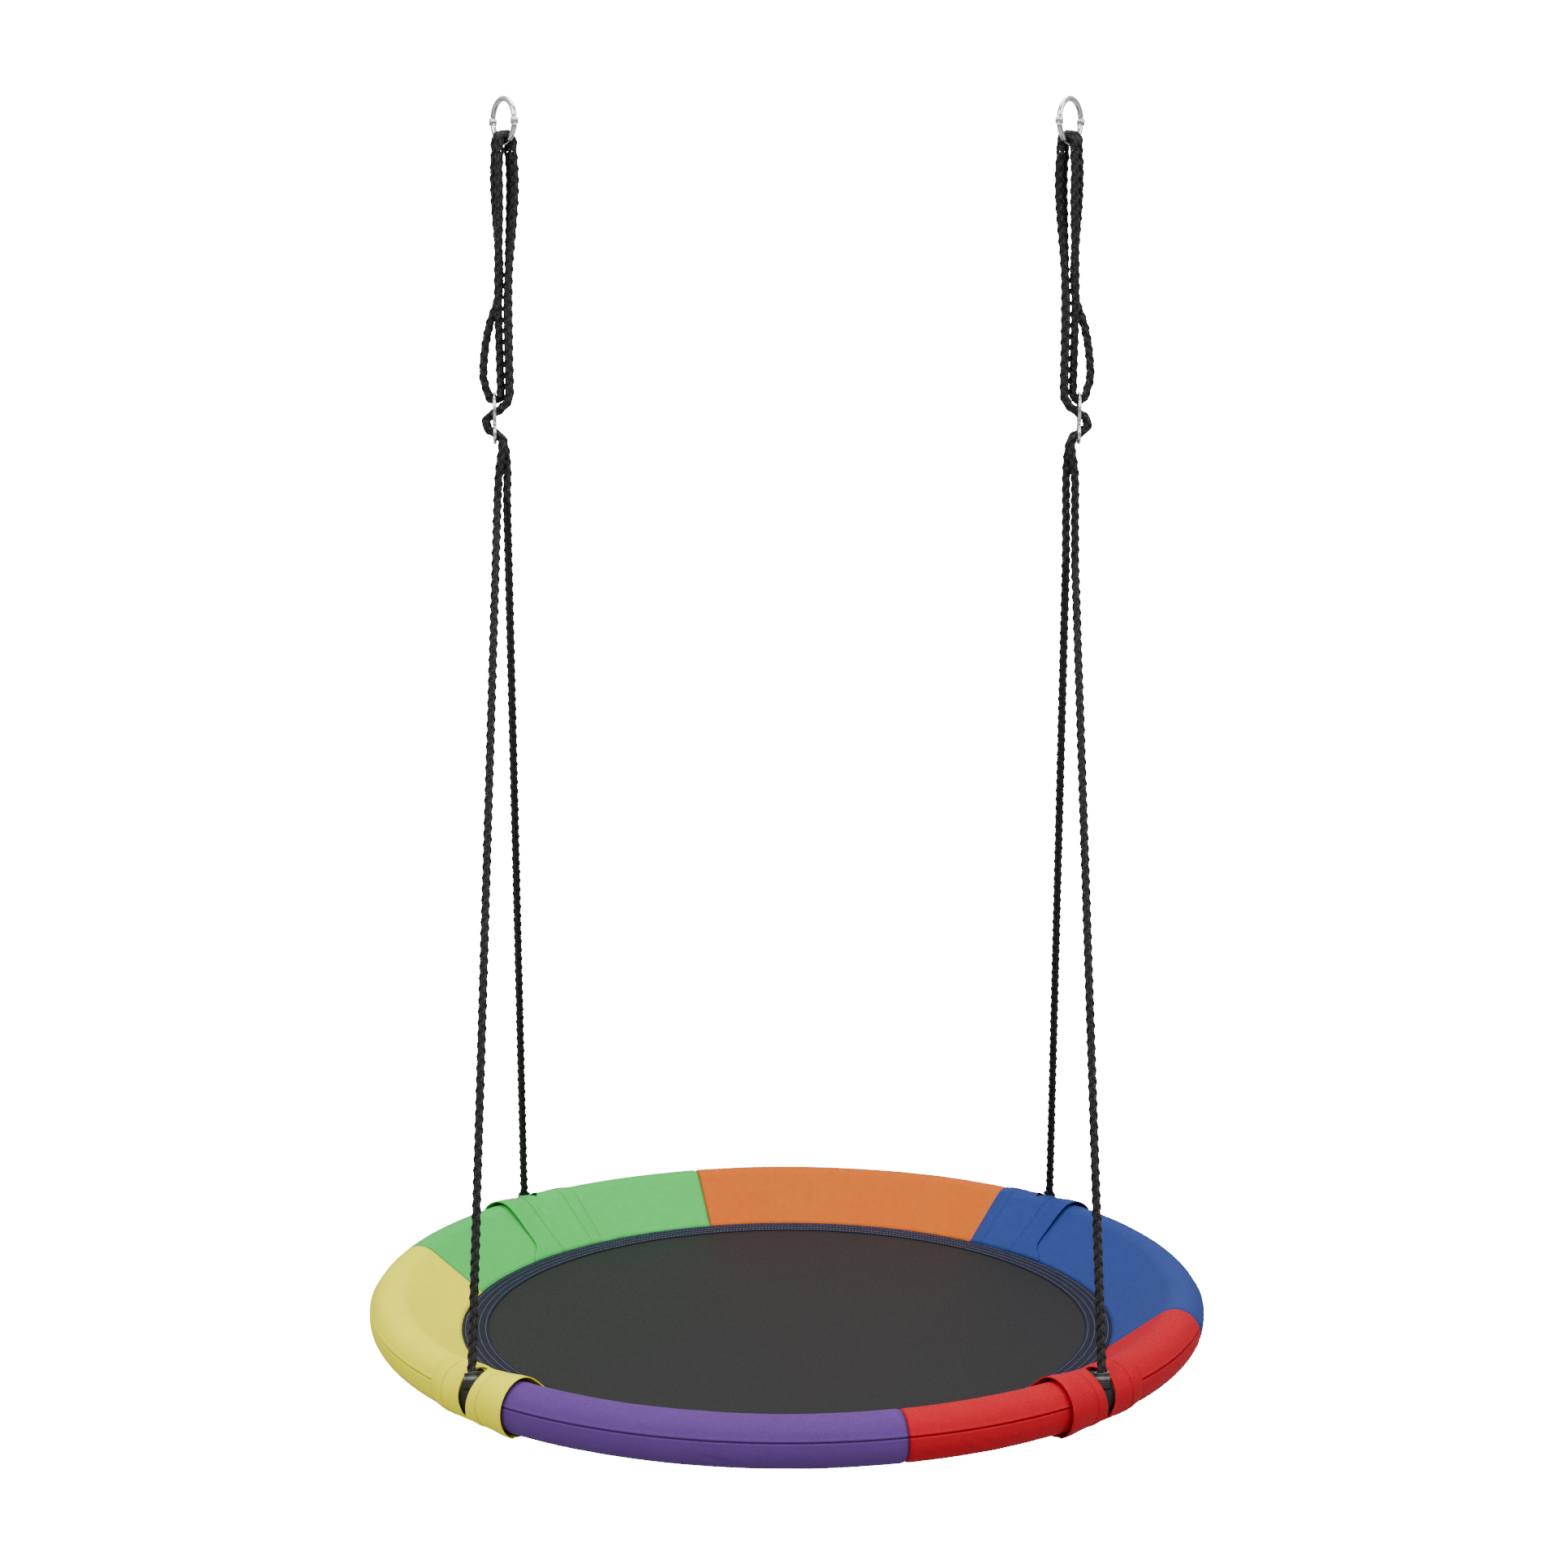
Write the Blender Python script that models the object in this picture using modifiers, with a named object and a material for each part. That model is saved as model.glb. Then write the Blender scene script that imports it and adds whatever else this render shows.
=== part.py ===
"""Saucer swing: a padded six-colour ring with a fabric mat, hung by two ropes from two snap rings.

Metres, +Z up. The origin is midway between the two snap rings, level with the inner top of each,
where the hooks of a beam carry them. The front of the swing faces -Y.
"""
import math

import bmesh
import bpy
from mathutils import Matrix, Vector

# Driving dimensions -------------------------------------------------------------------------------

HANG_HEIGHT = 1.415          # from the hooks down to the middle of the padded rim
RIM_RADIUS = 0.500           # outside of the padded rim
PAD_RADIUS = 0.0285          # radius of the padded rim's own cross-section
RIM_WIDTH = 0.1095            # from the outside of the rim to where its sloping skirt ends at the mat
SKIRT_SLOPE = math.radians(37)
SKIRT_TIP = 0.0030           # thickness of the skirt where it meets the mat
COVER_WALL = 0.0014
COVER_GAP = 0.0005           # between two neighbouring cover panels

TUBE_RADIUS = 0.0125
TUBE_WALL = 0.0015
TUBE_COUNT = 4
TUBE_STEPS = 12              # straight facets along each frame tube
TUBE_SIDES = 10
JOINER_CLEARANCE = 0.0003
SCREW_RADIUS = 0.0025
SCREW_HEAD_RADIUS = 0.0045
SCREW_HEAD_HEIGHT = 0.0030
SCREW_OFFSET = 0.018         # from the end of a frame tube to its screw
COVER_ROOM = 0.0065           # between the foam and the outside of the cover, for sling and cloth
FOAM_CLEARANCE = 0.0003
FOAM_END_GAP = 0.0025        # between two neighbouring foam sleeves

MAT_THICKNESS = 0.0024
MAT_CLEARANCE = 0.0013       # more than the sag of a cover panel's facets
HEM_WIDTH = 0.030
HEM_THICKNESS = 0.0008

SLEEVE_LENGTH = 0.120
SLEEVE_WALL = 0.0014
SLEEVE_GAP = 0.0010          # over the cover, more than the sag of its facets
SOFT_GAP = 0.0004            # between two layers of fabric
SLOT_CLEARANCE = 0.0012        # between a rope pocket and the edge of its slot
SLOT_MIDDLE = math.radians(29)
SLOT_HALF_ANGLE = math.radians(73)
SLING_WIDTH = 0.025
SLING_WALL = 0.0020
SLING_GAP = 0.0016           # over the foam, more than the sag of its facets
SLING_ANGLE = math.radians(46)
POCKET_HEIGHT = 0.026
POCKET_WALL = 0.0015
POCKET_FLARE = math.radians(14)
POCKET_FLOOR_GAP = 0.0007      # below the rope's pivot, so that its end can tilt

ROPE_RADIUS = 0.005
ROPE_GAP = 0.0003
ROPE_END_RISE = 0.008        # from the sling's band to the rope's end in the pocket

RING_X = 0.3225
RING_RADIUS = 0.0245         # of the middle of the ring's wire
RING_WIRE_RADIUS = 0.00325
RING_TURN = math.radians(55)
RING_END_ANGLE = math.radians(11)
RING_EAR_RADIUS = 0.0038
RING_EAR_WIDTH = 0.0082
RING_SLOT = 0.0031
RING_TONGUE = 0.0025
RING_PIN_RADIUS = 0.0013
RING_PIN_HEAD = 0.0006
WRAP_GAP = 0.00045           # between the rope's turn and the ring's wire
WRAP_CUT = 0.010             # below the wire, where the hanging rope takes over from the turn

ADJUSTER_OUT = 0.015         # how far outside the ring's middle the adjuster hangs
ADJUSTER_DROP = 0.364        # from the hooks to the adjuster's waist
ADJUSTER_WIRE_RADIUS = 0.0021
UPPER_EYE_ROOM = 0.009         # what the upper eye's width has over two ropes side by side
UPPER_EYE_HEIGHT = 0.034
LOWER_EYE_ROOM = 0.007
LOWER_EYE_HEIGHT = 0.022
ADJUSTER_TURN = {"left": math.radians(5), "right": math.radians(2)}
FORK_DROP = {"left": 0.448, "right": 0.523}   # from the hooks to where front and rear rope part

SIDES = {"left": -1.0, "right": 1.0}
PANELS = [("yellow", 165), ("green", 105), ("orange", 45), ("blue", -15), ("red", 285), ("purple", 225)]
ATTACHMENTS = [
    ("front_left", 225, "yellow"),
    ("rear_left", 135, "green"),
    ("rear_right", 45, "blue"),
    ("front_right", 315, "red"),
]

# Derived dimensions -------------------------------------------------------------------------------

PANEL_ANGLE = 360 / len(PANELS)
PAD_CENTRE = RIM_RADIUS - PAD_RADIUS
SKIRT_INNER_RADIUS = RIM_RADIUS - RIM_WIDTH
MAT_RADIUS = SKIRT_INNER_RADIUS - MAT_CLEARANCE
FOAM_RADIUS = PAD_RADIUS - COVER_ROOM
UPPER_EYE_WIDTH = 4 * ROPE_RADIUS + UPPER_EYE_ROOM
LOWER_EYE_WIDTH = 4 * ROPE_RADIUS + LOWER_EYE_ROOM
SLING_RADIUS = FOAM_RADIUS + SLING_GAP + SLING_WALL
POCKET_FLOOR_RADIUS = ROPE_RADIUS + ROPE_GAP
PAIR_SPACING = ROPE_RADIUS + ROPE_GAP
WRAP_RADIUS = RING_WIRE_RADIUS + ROPE_RADIUS + WRAP_GAP
RING_INNER_RADIUS = RING_RADIUS - RING_WIRE_RADIUS
SKIRT_HIGH_Z = PAD_RADIUS * math.cos(SKIRT_SLOPE)
SKIRT_RUN = PAD_CENTRE - PAD_RADIUS * math.sin(SKIRT_SLOPE) - SKIRT_INNER_RADIUS
SKIRT_TIP_Z = SKIRT_HIGH_Z - SKIRT_RUN * math.tan(SKIRT_SLOPE)
MAT_TOP = SKIRT_TIP_Z - 0.2 * SKIRT_TIP
WRAP_SPACING = ROPE_RADIUS + ROPE_GAP / 2 + 0.0001
RING_BOTTOM = -math.sqrt(RING_RADIUS**2 - WRAP_SPACING**2)

COLOURS = {
    "yellow": (0.78, 0.68, 0.16),
    "green": (0.32, 0.62, 0.29),
    "orange": (0.68, 0.22, 0.07),
    "blue": (0.045, 0.10, 0.32),
    "red": (0.60, 0.043, 0.043),
    "purple": (0.18, 0.11, 0.35),
}

# Helpers ------------------------------------------------------------------------------------------


def clear_scene():
    """Remove what the start-up file holds."""
    for old in list(bpy.data.objects):
        bpy.data.objects.remove(old, do_unlink=True)


def make_collection(name):
    """Add a collection to the scene."""
    group = bpy.data.collections.new(name)
    bpy.context.scene.collection.children.link(group)
    return group


def make_material(name, colour, roughness, metallic=0.0):
    """Make a plain Principled material."""
    material = bpy.data.materials.new(name)
    material.use_nodes = True
    shader = material.node_tree.nodes["Principled BSDF"]
    shader.inputs["Base Color"].default_value = (*colour, 1.0)
    shader.inputs["Roughness"].default_value = roughness
    shader.inputs["Metallic"].default_value = metallic
    material.diffuse_color = (*colour, 1.0)
    return material


def add_object(name, data, group, material=None, parent=None):
    """Put mesh or curve data in the scene as a named object."""
    item = bpy.data.objects.new(name, data)
    group.objects.link(item)
    item.parent = parent
    if material:
        data.materials.append(material)
    return item


def add_empty(name, group, location, parent=None):
    """Add an empty that other objects hang on."""
    item = add_object(name, None, group, parent=parent)
    item.location = location
    return item


def hang(item, carrier):
    """Hang an item on a carrier and keep it where it is."""
    place = Vector((0.0, 0.0, 0.0))
    step = carrier
    while step:
        place += step.location
        step = step.parent
    item.parent = carrier
    item.matrix_parent_inverse = Matrix.Translation(-place)


def outline_mesh(name, points, closed=True):
    """Make a mesh of one line of points in the XZ plane."""
    mesh = bpy.data.meshes.new(name)
    edges = [(i, i + 1) for i in range(len(points) - 1)]
    if closed:
        edges.append((len(points) - 1, 0))
    mesh.from_pydata([(x, 0.0, z) for x, z in points], edges, [])
    return mesh


def arc(centre, radius, start, end, count):
    """Points on an arc in the XZ plane, both ends included."""
    step = (end - start) / (count - 1)
    return [
        (centre[0] + radius * math.cos(start + step * i), centre[1] + radius * math.sin(start + step * i))
        for i in range(count)
    ]


def revolve(item, start_degrees, angle_degrees, steps):
    """Turn an outline about Z with a Screw, starting at an azimuth."""
    item.rotation_euler.z = math.radians(start_degrees)
    screw = item.modifiers.new("Turn", "SCREW")
    screw.angle = math.radians(angle_degrees)
    screw.steps = steps
    screw.render_steps = steps
    screw.use_merge_vertices = angle_degrees >= 360
    screw.merge_threshold = 0.00001
    screw.use_smooth_shade = False


def thicken(item, wall):
    """Give an open surface a wall on its inner side."""
    solid = item.modifiers.new("Wall", "SOLIDIFY")
    solid.thickness = wall
    solid.offset = -1.0
    solid.use_even_offset = True
    solid.use_rim = True


def cut(item, cutter, operation="DIFFERENCE"):
    """Add a Boolean with a cutter."""
    boolean = item.modifiers.new("Boolean", "BOOLEAN")
    boolean.object = cutter
    boolean.operation = operation
    boolean.solver = "EXACT"


def hide_cutter(item):
    """Mark an object as one that only shapes others."""
    item.hide_render = True
    item.display_type = "WIRE"
    return item


def cylinder_data(name, radius, length, sides, top_radius=None):
    """Make a capped cylinder or cone about Z, centred on its middle."""
    mesh = bpy.data.meshes.new(name)
    shape = bmesh.new()
    end_radius = radius if top_radius is None else top_radius
    bmesh.ops.create_cone(
        shape, cap_ends=True, segments=sides, radius1=radius, radius2=end_radius, depth=length
    )
    shape.to_mesh(mesh)
    shape.free()
    return mesh


def box_data(name, size):
    """Make a box centred on its middle."""
    mesh = bpy.data.meshes.new(name)
    shape = bmesh.new()
    bmesh.ops.create_cube(shape, size=1.0, matrix=Matrix.Diagonal((*size, 1.0)))
    shape.to_mesh(mesh)
    shape.free()
    return mesh


def tube_data(name, points, radius, resolution=2, closed=False):
    """Make a round tube along a line of points."""
    curve = bpy.data.curves.new(name, "CURVE")
    curve.dimensions = "3D"
    curve.bevel_depth = radius
    curve.bevel_resolution = resolution
    curve.use_fill_caps = not closed
    spline = curve.splines.new("POLY")
    spline.points.add(len(points) - 1)
    for spot, place in zip(spline.points, points):
        spot.co = (*place, 1.0)
    spline.use_cyclic_u = closed
    return curve


def mesh_from_curve(name, curve, group):
    """Turn a tube into a welded mesh that a Boolean can use."""
    carrier = add_object(name + "_curve", curve, group)
    bpy.context.view_layer.update()
    graph = bpy.context.evaluated_depsgraph_get()
    mesh = bpy.data.meshes.new_from_object(carrier.evaluated_get(graph))
    shape = bmesh.new()
    shape.from_mesh(mesh)
    bmesh.ops.remove_doubles(shape, verts=shape.verts, dist=0.00001)
    bmesh.ops.recalc_face_normals(shape, faces=shape.faces)
    shape.to_mesh(mesh)
    shape.free()
    bpy.data.objects.remove(carrier, do_unlink=True)
    mesh.name = name
    mesh.materials.clear()
    return mesh


def smooth_route(route, longest=0.050):
    """Read points from a smooth curve through a route's own points."""
    spots = [Vector(place) for place in route]
    ends = [2 * spots[0] - spots[1], *spots, 2 * spots[-1] - spots[-2]]
    result = []
    for before, start, end, after in zip(ends, ends[1:], ends[2:], ends[3:]):
        knots = [0.0]
        for low, high in ((before, start), (start, end), (end, after)):
            knots.append(knots[-1] + math.sqrt((high - low).length))
        count = max(2, round((end - start).length / longest))
        for i in range(count):
            at = knots[1] + (knots[2] - knots[1]) * i / count
            result.append(curve_point((before, start, end, after), knots, at))
    result.append(spots[-1])
    return result


def curve_point(spots, knots, at):
    """One point of a centripetal Catmull-Rom curve."""
    rows = list(spots)
    for level in (1, 2, 3):
        width = 1 if level == 1 else 2
        rows = [blend_pair(rows, knots, at, i, level, width) for i in range(len(rows) - 1)]
    return rows[0]


def blend_pair(rows, knots, at, i, level, width):
    """Blend two neighbouring points of one level of the curve's triangle."""
    low = knots[i] if level != 3 else knots[1]
    high = knots[i + width] if level != 3 else knots[2]
    share = (at - low) / (high - low)
    return rows[i] * (1 - share) + rows[i + 1] * share


# Padded rim ---------------------------------------------------------------------------------------


def teardrop(extra, tip, closed=True):
    """Outline of the rim: a round pad with a skirt that slopes in to the mat."""
    radius = PAD_RADIUS + extra
    top = arc((PAD_CENTRE, 0.0), radius, math.pi / 2 + SKIRT_SLOPE, -math.pi / 2, 15)
    high_z = SKIRT_TIP_Z + extra / math.cos(SKIRT_SLOPE)
    inner = [(SKIRT_INNER_RADIUS, -radius), (SKIRT_INNER_RADIUS, high_z)]
    if not closed:
        inner = []
        top = [(SKIRT_INNER_RADIUS + tip, high_z + tip * math.tan(SKIRT_SLOPE)), *top]
        top.append((SKIRT_INNER_RADIUS + tip, -radius))
    return top + inner


def degrees_for(length, radius):
    """The angle in degrees that a length takes at a radius."""
    return math.degrees(length / radius)


def point_on_rim(azimuth_degrees, distance=0.0, angle=0.0):
    """A point at a distance from the middle of the rim's tube, at an angle above level."""
    azimuth = math.radians(azimuth_degrees)
    out = PAD_CENTRE + distance * math.cos(angle)
    return Vector((out * math.cos(azimuth), out * math.sin(azimuth), distance * math.sin(angle)))


def slot_width(label, azimuth):
    """Width of the slot that clears a leaning rope pocket where it passes through the sleeve."""
    base, direction = rope_end(label, azimuth)
    turned = math.radians(azimuth)
    side = Vector((-math.sin(turned), math.cos(turned), 0.0))
    out = (base - point_on_rim(azimuth)).normalized()
    rise = (PAD_RADIUS + SLEEVE_GAP + SLEEVE_WALL - SLING_RADIUS) / direction.dot(out)
    flare = max(0.0, rise - ROPE_END_RISE) * math.tan(POCKET_FLARE)
    half = POCKET_FLOOR_RADIUS + POCKET_WALL + flare + rise * abs(direction.dot(side))
    return 2 * (half + SLOT_CLEARANCE)


def make_slot_cutter(label, azimuth, cutters, parent):
    """Make the block that cuts the rope slot in a sleeve and in the cover below it."""
    depth = PAD_RADIUS * (1 - math.cos(SLOT_HALF_ANGLE)) + 2 * SLEEVE_WALL + 2 * SLEEVE_GAP
    length = 2 * PAD_RADIUS * math.sin(SLOT_HALF_ANGLE)
    middle = PAD_RADIUS * math.cos(SLOT_HALF_ANGLE) + depth / 2
    size = (depth, slot_width(label, azimuth), length)
    block = add_object("slot_cutter_" + label, box_data("slot_cutter_" + label, size), cutters)
    block.parent = parent
    block.location = point_on_rim(azimuth, middle, SLOT_MIDDLE)
    block.rotation_euler = (0.0, -SLOT_MIDDLE, math.radians(azimuth))
    return hide_cutter(block)


def make_cover(colour, start, group, material, parent, slots):
    """Make one coloured panel of the rim's cover."""
    gap = degrees_for(COVER_GAP, RIM_RADIUS)
    panel = add_object(
        "cover_" + colour, outline_mesh("cover_" + colour, teardrop(0.0, 0.0)), group, material, parent
    )
    revolve(panel, start + gap / 2, PANEL_ANGLE - gap, 8)
    thicken(panel, COVER_WALL)
    for azimuth, block in slots:
        reach = degrees_for(SLING_WIDTH, RIM_RADIUS)
        if start - reach < azimuth < start + PANEL_ANGLE + reach:
            cut(panel, block)
    return panel


def make_sleeve(label, azimuth, group, material, parent, block):
    """Make the wrap that covers the rim where a rope is tied on."""
    angle = degrees_for(SLEEVE_LENGTH, PAD_CENTRE)
    points = teardrop(SLEEVE_GAP + SLEEVE_WALL, 0.004, closed=False)
    wrap = add_object(
        "rope_sleeve_" + label, outline_mesh("rope_sleeve_" + label, points, False), group, material, parent
    )
    revolve(wrap, azimuth - angle / 2, angle, 4)
    thicken(wrap, SLEEVE_WALL)
    cut(wrap, block)
    return wrap


def make_frame(group, cutters, materials, parent):
    """Make the steel ring: four bent tubes, their joiners and screws, and the foam round them."""
    step = 360 / TUBE_COUNT
    gap = degrees_for(COVER_GAP, PAD_CENTRE)
    foam_gap = degrees_for(FOAM_END_GAP, PAD_CENTRE)
    joiner_angle = 2 * step / TUBE_STEPS
    hole_data = cylinder_data("screw_hole", SCREW_RADIUS + JOINER_CLEARANCE, 4 * TUBE_RADIUS, 12)
    room = TUBE_RADIUS + SCREW_HEAD_HEIGHT + 2 * FOAM_CLEARANCE
    room_data = cylinder_data("screw_room", SCREW_HEAD_RADIUS + 0.001, 2 * room, 12)
    sections = []
    for number in range(TUBE_COUNT):
        start = number * step
        label = str(number + 1)
        joiner_radius = TUBE_RADIUS - TUBE_WALL - JOINER_CLEARANCE
        section = ring_section("frame_tube", TUBE_RADIUS, TUBE_SIDES)
        tube = add_object("frame_tube_" + label, section, group, materials["steel"])
        revolve(tube, start + gap / 2, step - gap, TUBE_STEPS)
        thicken(tube, TUBE_WALL)
        section = ring_section("tube_joiner", joiner_radius, TUBE_SIDES)
        joiner = add_object("tube_joiner_" + label, section, group, materials["steel"])
        revolve(joiner, start - joiner_angle / 2, joiner_angle, 2)
        thicken(joiner, TUBE_WALL)
        section = ring_section("foam_sleeve", FOAM_RADIUS, TUBE_SIDES)
        foam = add_object("foam_sleeve_" + label, section, group, materials["foam"])
        revolve(foam, start + foam_gap / 2, step - foam_gap, TUBE_STEPS)
        thicken(foam, FOAM_RADIUS * math.cos(math.pi / TUBE_SIDES) - TUBE_RADIUS - FOAM_CLEARANCE)
        place = point_on_rim(start + degrees_for(SCREW_OFFSET, PAD_CENTRE))
        screw = make_frame_screw(label, group, materials["zinc"])
        hole = hide_cutter(add_object("screw_hole_" + label, hole_data, cutters))
        space = hide_cutter(add_object("screw_room_" + label, room_data, cutters))
        for item in (screw, hole, space):
            item.location = place
        cut(tube, hole)
        cut(joiner, hole)
        cut(foam, space)
        sections += [tube, joiner, foam, screw, hole, space]
    for item in sections:
        item.parent = parent


def ring_section(name, radius, sides):
    """A circle on the rim's middle line, drawn so that its outer side runs downwards."""
    return outline_mesh(name, arc((PAD_CENTRE, 0.0), radius, math.pi, math.pi * (2 / sides - 1), sides))


def make_frame_screw(label, group, material):
    """Make a screw with its nut, through a frame tube and its joiner."""
    top = TUBE_RADIUS + FOAM_CLEARANCE / 2 + SCREW_HEAD_HEIGHT
    shoulder = TUBE_RADIUS + FOAM_CLEARANCE / 2
    points = [
        (0.0, top),
        (SCREW_HEAD_RADIUS, top),
        (SCREW_HEAD_RADIUS, shoulder),
        (SCREW_RADIUS, shoulder),
        (SCREW_RADIUS, -shoulder),
        (SCREW_HEAD_RADIUS, -shoulder),
        (SCREW_HEAD_RADIUS, -top),
        (0.0, -top),
    ]
    screw = add_object("frame_screw_" + label, outline_mesh("frame_screw", points, False), group, material)
    revolve(screw, 0, 360, 12)
    return screw


def make_mat(group, materials, parent):
    """Make the fabric mat and the hem sewn round its edge."""
    mat = add_object(
        "seat_mat", cylinder_data("seat_mat", MAT_RADIUS, MAT_THICKNESS, 72), group, materials["mat"], parent
    )
    mat.location.z = MAT_TOP - MAT_THICKNESS / 2
    low = MAT_TOP + SOFT_GAP
    high = low + HEM_THICKNESS
    inside = MAT_RADIUS - HEM_WIDTH
    points = [(inside, high), (MAT_RADIUS, high), (MAT_RADIUS, low), (inside, low)]
    hem = add_object("mat_hem", outline_mesh("mat_hem", points), group, materials["hem"], parent)
    revolve(hem, 0, 360, 72)


# Ropes --------------------------------------------------------------------------------------------


def rope_end(label, azimuth):
    """Where a rope ends in its pocket and the direction in which it leaves, in the saucer's own axes."""
    base = point_on_rim(azimuth, SLING_RADIUS, SLING_ANGLE)
    side = "left" if label.endswith("left") else "right"
    fork = Vector((SIDES[side] * (RING_X + 0.6 * ADJUSTER_OUT), 0.0, HANG_HEIGHT - FORK_DROP[side]))
    direction = (fork - base).normalized()
    return base, direction


def make_sling(label, azimuth, group, cutters, material, parent):
    """Make the webbing loop round the foam, with the pocket that holds the rope's end."""
    base, direction = rope_end(label, azimuth)
    radius = SLING_RADIUS
    band = bpy.data.meshes.new("webbing_sling_" + label)
    shape = bmesh.new()
    sizes = {"radius1": radius, "radius2": radius, "depth": SLING_WIDTH}
    bmesh.ops.create_cone(shape, cap_ends=False, segments=24, **sizes)
    shape.to_mesh(band)
    shape.free()
    sling = add_object("webbing_sling_" + label, band, group, material, parent)
    sling.location = point_on_rim(azimuth)
    sling.rotation_euler = (math.pi / 2, 0.0, math.radians(azimuth))
    thicken(sling, SLING_WALL)

    turn = direction.to_track_quat("Z", "Y")
    floor_radius = POCKET_FLOOR_RADIUS
    rise = POCKET_HEIGHT - ROPE_END_RISE
    mouth_radius = floor_radius + rise * math.tan(POCKET_FLARE)
    sink = 2 * SLING_WALL
    foot_radius = floor_radius + POCKET_WALL
    lip_radius = mouth_radius + POCKET_WALL
    lap = ROPE_END_RISE - 0.0002
    floor = ROPE_END_RISE - POCKET_FLOOR_GAP
    solids = [
        ("foot_", -sink, ROPE_END_RISE, foot_radius, foot_radius, "UNION"),
        ("mouth_", lap, POCKET_HEIGHT, foot_radius, lip_radius, "UNION"),
        ("hollow_", floor, POCKET_HEIGHT + 0.001, floor_radius, mouth_radius, "DIFFERENCE"),
    ]
    for prefix, low, high, low_radius, high_radius, operation in solids:
        data = cylinder_data(prefix + label, low_radius, high - low, 18, high_radius)
        piece = hide_cutter(add_object(prefix + label, data, cutters, parent=parent))
        piece.location = base + direction * (low + high) / 2
        piece.rotation_mode = "QUATERNION"
        piece.rotation_quaternion = turn
        cut(sling, piece, operation)
    bore_radius = radius - SLING_WALL
    bore_data = cylinder_data("sling_bore_" + label, bore_radius, 2 * SLING_WIDTH, 24)
    bore = hide_cutter(add_object("sling_bore_" + label, bore_data, cutters, parent=parent))
    bore.location = sling.location
    bore.rotation_euler = sling.rotation_euler
    cut(sling, bore)
    return sling


def ring_place(side, along, through, drop):
    """A point near a ring: along its plane, through its plane, and down from the hooks."""
    out = RING_X - along * math.cos(RING_TURN) + through * math.sin(RING_TURN)
    depth = -along * math.sin(RING_TURN) - through * math.cos(RING_TURN)
    return Vector((SIDES[side] * out, depth, -drop))


def adjuster_place(side, out, depth, rise):
    """A point near an adjuster, from its waist."""
    return Vector((SIDES[side] * (RING_X + ADJUSTER_OUT + out), depth, rise - ADJUSTER_DROP))


def upper_route(side, wrap, through):
    """The rope's route under one ring, from the turn on the wire to the bunch above the adjuster."""
    wire_drop = RING_INNER_RADIUS - RING_BOTTOM
    return [
        ring_place(side, wrap * WRAP_SPACING, through * WRAP_RADIUS, wire_drop + WRAP_CUT + 3 * ROPE_GAP),
        ring_place(side, wrap * WRAP_SPACING, through * (WRAP_RADIUS + 0.0016), wire_drop + 0.030),
        ring_place(side, wrap * WRAP_SPACING, through * (WRAP_RADIUS + 0.0014), wire_drop + 0.060),
    ]


def leg_route(side, label, azimuth):
    """The rope from a ring through both eyes of the adjuster and down to the rim."""
    front = -1.0 if label.startswith("front") else 1.0
    beside = front * (ROPE_RADIUS + ROPE_GAP)
    wrap = -front
    bunch = Vector((SIDES[side] * (RING_X - 0.0024), front * 0.0056, -0.215))
    weave = [
        (-0.0172, 0.075),
        (-0.0175, 0.045),
        (-0.0168, 0.030),
        (-0.0130, 0.022),
        (-0.0070, 0.0165),
        (0.0000, 0.0120),
        (0.0078, 0.0062),
        (0.0100, 0.0000),
        (0.0074, -0.0064),
        (0.0002, -0.0112),
        (-0.0074, -0.0166),
    ]
    parting = [
        (-0.0098, 0.23, 1.00, -0.0290),
        (-0.0094, 0.64, 0.83, -0.0440),
        (-0.0088, 0.90, 0.53, -0.0600),
    ]
    base, direction = rope_end(label, azimuth)
    centre = Vector((0.0, 0.0, -HANG_HEIGHT))
    out = SIDES[side] * (RING_X + 0.0075 - front * 0.98 * PAIR_SPACING)
    fork = Vector((out, front * 0.34 * PAIR_SPACING, -FORK_DROP[side]))
    end = centre + base + direction * (ROPE_END_RISE + ROPE_GAP)
    aim = centre + base + direction * POCKET_HEIGHT
    route = upper_route(side, wrap, -1.0) + [bunch]
    route += [adjuster_place(side, away, beside, rise) for away, rise in weave]
    for away, spread, depth, rise in parting:
        out = away - front * spread * PAIR_SPACING
        route.append(adjuster_place(side, out, front * depth * PAIR_SPACING, rise))
    straight = route[-1]
    route += [straight.lerp(fork, 0.45), straight.lerp(fork, 0.85), fork, fork.lerp(aim, 0.06)]
    route += [fork.lerp(aim, 0.5), aim, end]
    return route


def bight_route(side):
    """The rope's middle: down from the ring, through the upper eye and back up to the ring."""
    turn = UPPER_EYE_HEIGHT
    hook = ADJUSTER_WIRE_RADIUS + ROPE_GAP + ROPE_RADIUS
    inner = Vector((SIDES[side] * (RING_X + 0.0084), -0.0056, -0.215))
    outer = Vector((SIDES[side] * (RING_X + 0.0086), 0.0056, -0.215))
    loop = [
        (-0.0070, 0.070),
        (-0.0074, 0.046),
        *[(-hook * math.cos(i * math.pi / 6), turn - hook * math.sin(i * math.pi / 6)) for i in range(7)],
        (0.0098, 0.042),
        (0.0122, 0.052),
        (0.0100, 0.085),
        (0.0045, 0.112),
    ]
    route = upper_route(side, 1.0, 1.0) + [inner]
    route += [adjuster_place(side, out, 0.0, rise) for out, rise in loop]
    return route + [outer] + upper_route(side, -1.0, 1.0)[::-1]


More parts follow.
